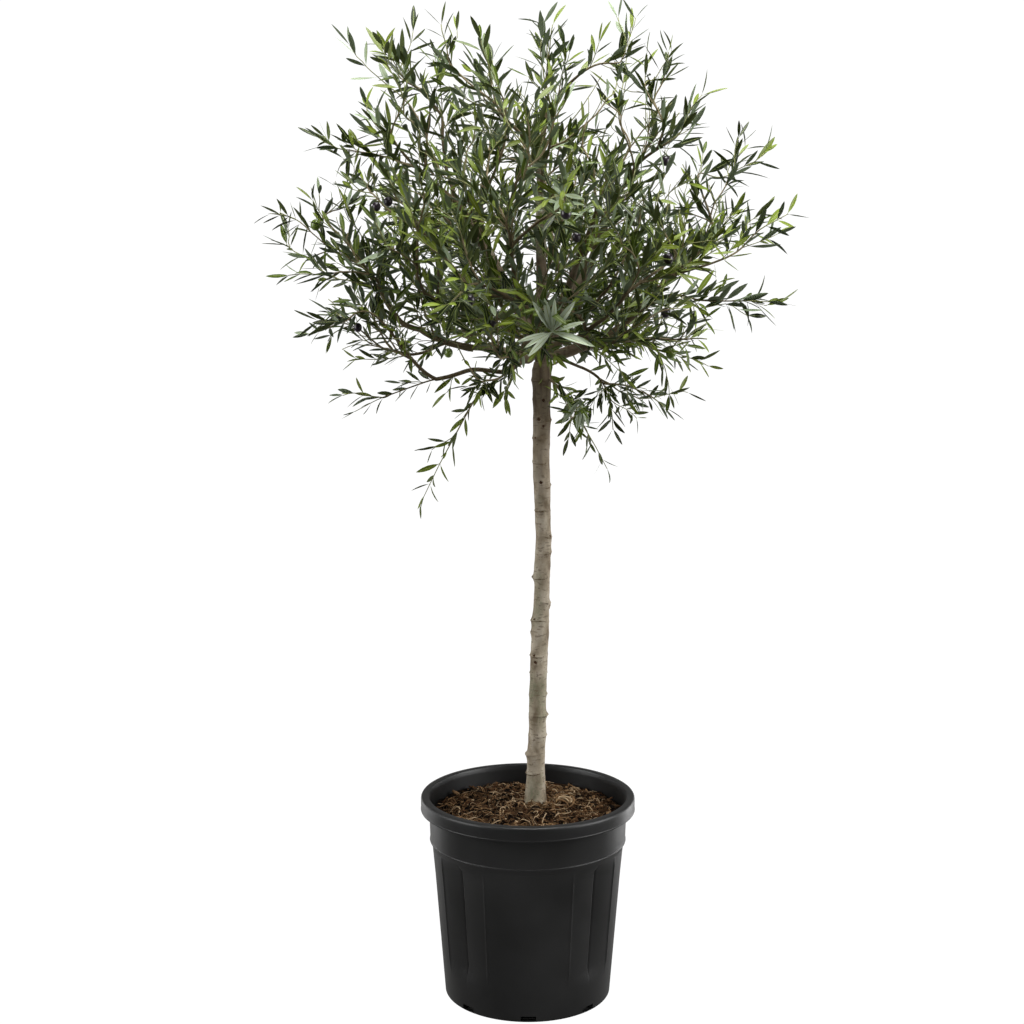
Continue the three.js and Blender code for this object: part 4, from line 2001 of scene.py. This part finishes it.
@dataclass
class Pot:
    """The fluted nursery pot with its collar and its turned-down rolled lip."""

    wall: float = 3 * MM
    foot_radius: float = 155.4 * MM
    shoulder_radius: float = 177.6 * MM
    shoulder_height: float = 284 * MM
    chamfer: float = 13 * MM
    collar_foot: float = 182.6 * MM
    collar_top: float = 185 * MM
    lip_depth: float = 26.5 * MM
    lip_round: float = 6.5 * MM
    mouth: float = 184 * MM
    bead: float = 0.9 * MM
    groove_count: int = 4
    groove_half: float = math.radians(18)
    groove_depth: float = 7 * MM
    groove_foot: float = 56 * MM
    groove_fade: float = 32 * MM
    groove_crease: float = 1.8 * MM
    groove_edge: float = 1.2 * MM
    edge_half: float = math.radians(0.8)
    notch_count: int = 8
    notch_half: float = 14 * MM
    notch_low: float = 2.2 * MM
    notch_high: float = 11.5 * MM
    notch_depth: float = 10 * MM
    segments: int = 480
    row_gap: float = 11 * MM
    height: float = field(init=False)
    lip_radius: float = field(init=False)

    def __post_init__(self) -> None:
        """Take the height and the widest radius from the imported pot."""
        low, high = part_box("pot")
        self.height = high.z
        self.lip_radius = (high.x - low.x) / 2

    def outline(self) -> np.ndarray:
        """Lay out the section, from the middle of the underside round to the inside's floor.

        Returns:
            Rows of radius and height.
        """
        top, wall, bead = self.height, self.wall, self.bead
        skirt, under = top - self.lip_depth, top - 2 * wall
        collar = self.shoulder_height + self.chamfer
        corners = [
            (self.foot_radius, 0.0, 2.5 * MM),
            (self.shoulder_radius, self.shoulder_height, 3 * MM),
            (self.collar_foot, collar - 2 * bead, 0.8 * MM),
            (self.collar_foot + bead, collar - bead, 0.7 * MM),
            (self.collar_foot + bead, collar + bead, 0.7 * MM),
            (self.collar_foot, collar + 2 * bead, 0.8 * MM),
            (self.collar_top, under, 1 * MM),
            (self.lip_radius - wall, under, 1 * MM),
            (self.lip_radius - wall, skirt, 0.5 * MM),
            (self.lip_radius, skirt, 0.9 * MM),
            (self.lip_radius, skirt + 2.4 * bead, 0.6 * MM),
            (self.lip_radius - 0.5 * bead, skirt + 3.2 * bead, 0.6 * MM),
            (self.lip_radius - 0.3 * bead, top, self.lip_round),
            (self.mouth + 1 * MM, top, 2.2 * MM),
            (self.mouth - 1 * MM, top - 3 * wall, 2 * MM),
            (self.collar_foot - wall, collar, 2 * MM),
            (self.foot_radius - wall, 1.4 * wall, 2 * MM),
        ]
        points = [np.array([0.0, 0.0])]
        flat = [np.array(c[:2]) for c in corners]
        after = [*flat[1:], np.array([0.0, 1.4 * wall])]
        for before, (radius, height, fillet), following in zip(
            [points[0], *flat[:-1]], corners, after
        ):
            corner = np.array([radius, height])
            back, ahead = unit(before - corner), unit(following - corner)
            reach = min(
                fillet,
                np.linalg.norm(before - corner) * 0.45,
                np.linalg.norm(following - corner) * 0.45,
            )
            for t in np.linspace(0, 1, 5):
                start, end = corner + back * reach, corner + ahead * reach
                points.append(start * (1 - t) ** 2 + corner * 2 * t * (1 - t) + end * t**2)
        points.append(np.array([0.0, 1.4 * wall]))
        dense = [points[0]]
        for point in points[1:]:
            gap = np.linalg.norm(point - dense[-1])
            steep = abs(point[1] - dense[-1][1]) > abs(point[0] - dense[-1][0])
            extra = int(gap / self.row_gap) if steep else 0
            last = dense[-1]
            dense += [last + (point - last) * k / (extra + 1) for k in range(1, extra + 1)]
            dense.append(point)
        return np.array(dense)

    def groove_at(self, angles: np.ndarray, heights: np.ndarray) -> np.ndarray:
        """Tell how deep the grooves are.

        Args:
            angles: Angles round the pot.
            heights: Heights above the ground.

        Returns:
            The depths.
        """
        spacing = 2 * math.pi / self.groove_count
        off = np.abs(angles % spacing - spacing / 2)
        across = np.clip(1 - off / self.groove_half, 0, 1) * self.groove_depth
        edge = np.clip(1 - np.abs(off - self.groove_half) / self.edge_half, 0, 1)
        crease = np.clip(1 - off / self.edge_half, 0, 1) * self.groove_crease
        rise = (heights - self.groove_foot) / self.groove_fade
        fall = (self.shoulder_height - heights) / (self.groove_fade / 5)
        return (across + crease - edge * self.groove_edge) * smooth(np.minimum(rise, fall))

    def build(self) -> bpy.types.Object:
        """Turn the outline, press the grooves in and cut the notches of the foot.

        Returns:
            The finished piece.
        """
        outline = self.outline()
        angles = np.arange(self.segments) * (2 * math.pi / self.segments)
        radii, heights = outline[1:-1, 0][:, None], outline[1:-1, 1][:, None]
        grooves = self.groove_at(angles[None, :], heights)
        depth = np.where(radii > self.foot_radius * 0.9, grooves, 0.0)
        out = radii - depth
        rows = len(out)
        corners = np.stack(
            [out * np.cos(angles), out * np.sin(angles), np.broadcast_to(heights, out.shape)],
            axis=-1,
        ).reshape(-1, 3)
        ends = np.array([[0.0, 0.0, outline[0, 1]], [0.0, 0.0, outline[-1, 1]]])
        builder = MeshBuilder()
        builder.add(np.vstack([corners, ends]), ring_quads(rows, self.segments))
        builder.face(end_caps(rows, self.segments))
        piece = builder.build("nursery_pot", [PotFinish().material()])
        self.cut_notches(piece)
        piece.data.set_sharp_from_angle(angle=math.radians(38))
        settle(piece, ["pot"])
        return piece

    def cut_notches(self, piece: bpy.types.Object) -> None:
        """Cut the drainage notches round the foot.

        Args:
            piece: The turned pot.
        """
        builder = MeshBuilder()
        signs = np.array([[a, b, c] for a in (-1, 1) for b in (-1, 1) for c in (-1, 1)])
        middle = UP * (self.notch_low + self.notch_high) / 2
        half_height = (self.notch_high - self.notch_low) / 2
        box = signs * np.array([self.notch_depth, self.notch_half, half_height])
        sides = np.array(
            [[0, 1, 3, 2], [4, 6, 7, 5], [0, 4, 5, 1], [2, 3, 7, 6], [0, 2, 6, 4], [1, 5, 7, 3]]
        )
        for i in range(self.notch_count):
            turn = 2 * math.pi * i / self.notch_count
            out = np.array([math.cos(turn), math.sin(turn), 0.0])
            aside = np.array([-out[1], out[0], 0.0])
            centre = out * self.foot_radius + middle
            builder.add(centre + box @ np.stack([out, aside, UP]), sides)
        cutter = builder.build("notch_cutter", [])
        cut = piece.modifiers.new("notches", "BOOLEAN")
        cut.object = cutter
        cut.operation = "DIFFERENCE"
        cut.solver = "EXACT"
        bpy.context.view_layer.update()
        evaluated = piece.evaluated_get(bpy.context.evaluated_depsgraph_get())
        finished = bpy.data.meshes.new_from_object(evaluated)
        piece.modifiers.remove(cut)
        piece.data = finished
        bpy.data.objects.remove(cutter)


# ---- Studio -------------------------------------------------------------------------------------


@dataclass(frozen=True)
class Lamp:
    """A soft square light, the height on the tree that it faces, and whether it is reflected."""

    name: str
    place: tuple[float, float, float]
    size: float
    power: float
    aim: float = 0.95
    glossy: bool = True


@dataclass
class Studio:
    """A white backdrop, soft lights and the camera."""

    dome_radius: float = 9.0
    white: float = 1.05
    lamps: tuple[Lamp, ...] = (
        Lamp("softbox_left", (-2.7, -0.8, 1.7), 1.8, 60),
        Lamp("softbox_right", (2.7, -0.7, 1.6), 1.8, 80),
        Lamp("softbox_top", (0.2, -0.4, 3.7), 1.8, 150),
        Lamp("rim_left", (-1.2, 0.9, 0.2), 0.7, 4, 0.2),
        Lamp("rim_right", (1.2, 0.9, 0.2), 0.7, 7, 0.2),
        Lamp("floor_bounce", (0.0, -0.7, 0.02), 0.7, 2.8, 0.08, glossy=False),
    )
    lens: float = 60.3
    camera: tuple[float, float, float] = (-0.0295, -3.097, 1.372)
    pitch: float = 0.1471
    air_front: float = 0.03
    air_back: float = 0.28
    air_below: float = 0.1
    air_tint: Colour = (1.0, 0.99, 0.96)

    def hang(self, lamp: Lamp) -> None:
        """Hang a lamp that faces the tree and doesn't show itself.

        Args:
            lamp: The lamp.
        """
        data = bpy.data.lights.new(lamp.name, "AREA")
        data.size = lamp.size
        data.energy = lamp.power
        hung = bpy.data.objects.new(lamp.name, data)
        hung.location = lamp.place
        hung.visible_camera = False
        hung.visible_glossy = lamp.glossy
        target = Vector((0.0, 0.0, lamp.aim))
        hung.rotation_euler = (target - Vector(lamp.place)).to_track_quat("-Z", "Y").to_euler()
        bpy.context.scene.collection.objects.link(hung)

    def backdrop(self) -> None:
        """Put a white dome with a level floor round the tree, which only the camera sees."""
        around, rings = 48, 12
        angles = np.arange(around) * (2 * math.pi / around)
        rises = np.linspace(0, math.pi / 2, rings)
        out, up = np.cos(rises)[:, None], np.sin(rises)[:, None]
        dome = np.stack([
            out * np.cos(angles), out * np.sin(angles), np.broadcast_to(up, (rings, around)),
        ], axis=-1).reshape(-1, 3) * self.dome_radius
        builder = MeshBuilder()
        builder.add(dome, ring_quads(rings, around))
        builder.face(np.arange(around)[None, ::-1])
        white = PlainFinish("studio_white", (0.0, 0.0, 0.0), 1.0, 0.0).material()
        shader = white.node_tree.nodes["Principled BSDF"]
        shader.inputs["Emission Color"].default_value = (1.0, 1.0, 1.0, 1.0)
        shader.inputs["Emission Strength"].default_value = self.white
        piece = builder.build("studio_backdrop", [white])
        piece.visible_diffuse = False
        piece.visible_glossy = False
        piece.visible_transmission = False
        piece.visible_shadow = False

    def air(self) -> bpy.types.World:
        """Light the air: brighter behind the tree and from below than from the front.

        Returns:
            The world.
        """
        world = bpy.data.worlds.new("studio_air")
        world.use_nodes = True
        tree = world.node_tree
        place = tree.nodes.new("ShaderNodeTexCoord")
        split = tree.nodes.new("ShaderNodeSeparateXYZ")
        tree.links.new(place.outputs["Generated"], split.inputs["Vector"])
        behind = tree.nodes.new("ShaderNodeMapRange")
        below = tree.nodes.new("ShaderNodeMapRange")
        for node, axis, source, target in (
            (behind, "Y", (-0.1, 0.9), (self.air_front, self.air_back)),
            (below, "Z", (-0.1, -0.7), (0.0, self.air_below)),
        ):
            names = ("From Min", "From Max", "To Min", "To Max")
            for name, number in zip(names, (*source, *target)):
                node.inputs[name].default_value = number
            tree.links.new(split.outputs[axis], node.inputs["Value"])
        total = tree.nodes.new("ShaderNodeMath")
        tree.links.new(behind.outputs["Result"], total.inputs[0])
        tree.links.new(below.outputs["Result"], total.inputs[1])
        tree.links.new(total.outputs["Value"], tree.nodes["Background"].inputs["Strength"])
        tree.nodes["Background"].inputs["Color"].default_value = (*self.air_tint, 1.0)
        return world

    def build(self) -> None:
        """Set up the backdrop, the lights, the world and the camera."""
        self.backdrop()
        for lamp in self.lamps:
            self.hang(lamp)
        scene = bpy.context.scene
        scene.world = self.air()
        data = bpy.data.cameras.new("camera")
        data.lens = self.lens
        data.sensor_width = 36.0
        camera = bpy.data.objects.new("camera", data)
        camera.location = self.camera
        camera.rotation_euler = (math.pi / 2 - self.pitch, 0.0, 0.0)
        scene.collection.objects.link(camera)
        scene.camera = camera
        scene.view_settings.view_transform = "Standard"


def main() -> None:
    """Build the tree piece by piece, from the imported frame."""
    logging.basicConfig(level=logging.INFO, format="%(name)s %(message)s")
    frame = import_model()
    crown = Crown(frame, np.random.default_rng(11))
    grown_from = crown.wood.count
    crown.grow()
    radii = crown.wood.girths()
    Stem(crown, np.random.default_rng(12)).build()
    Twigs(crown.wood, radii, grown_from).build()
    foliage = Foliage(crown, radii, np.random.default_rng(13))
    foliage.set_whorls()
    foliage.build()
    Fruit(crown, np.random.default_rng(14)).build()
    foot = crown.trunk.points[0]
    mix = PottingMix((foot[0], foot[1]), np.random.default_rng(15))
    mix.build_mound()
    mix.build_litter()
    Pot().build()
    Studio().build()


if __name__ == "__main__":
    main()
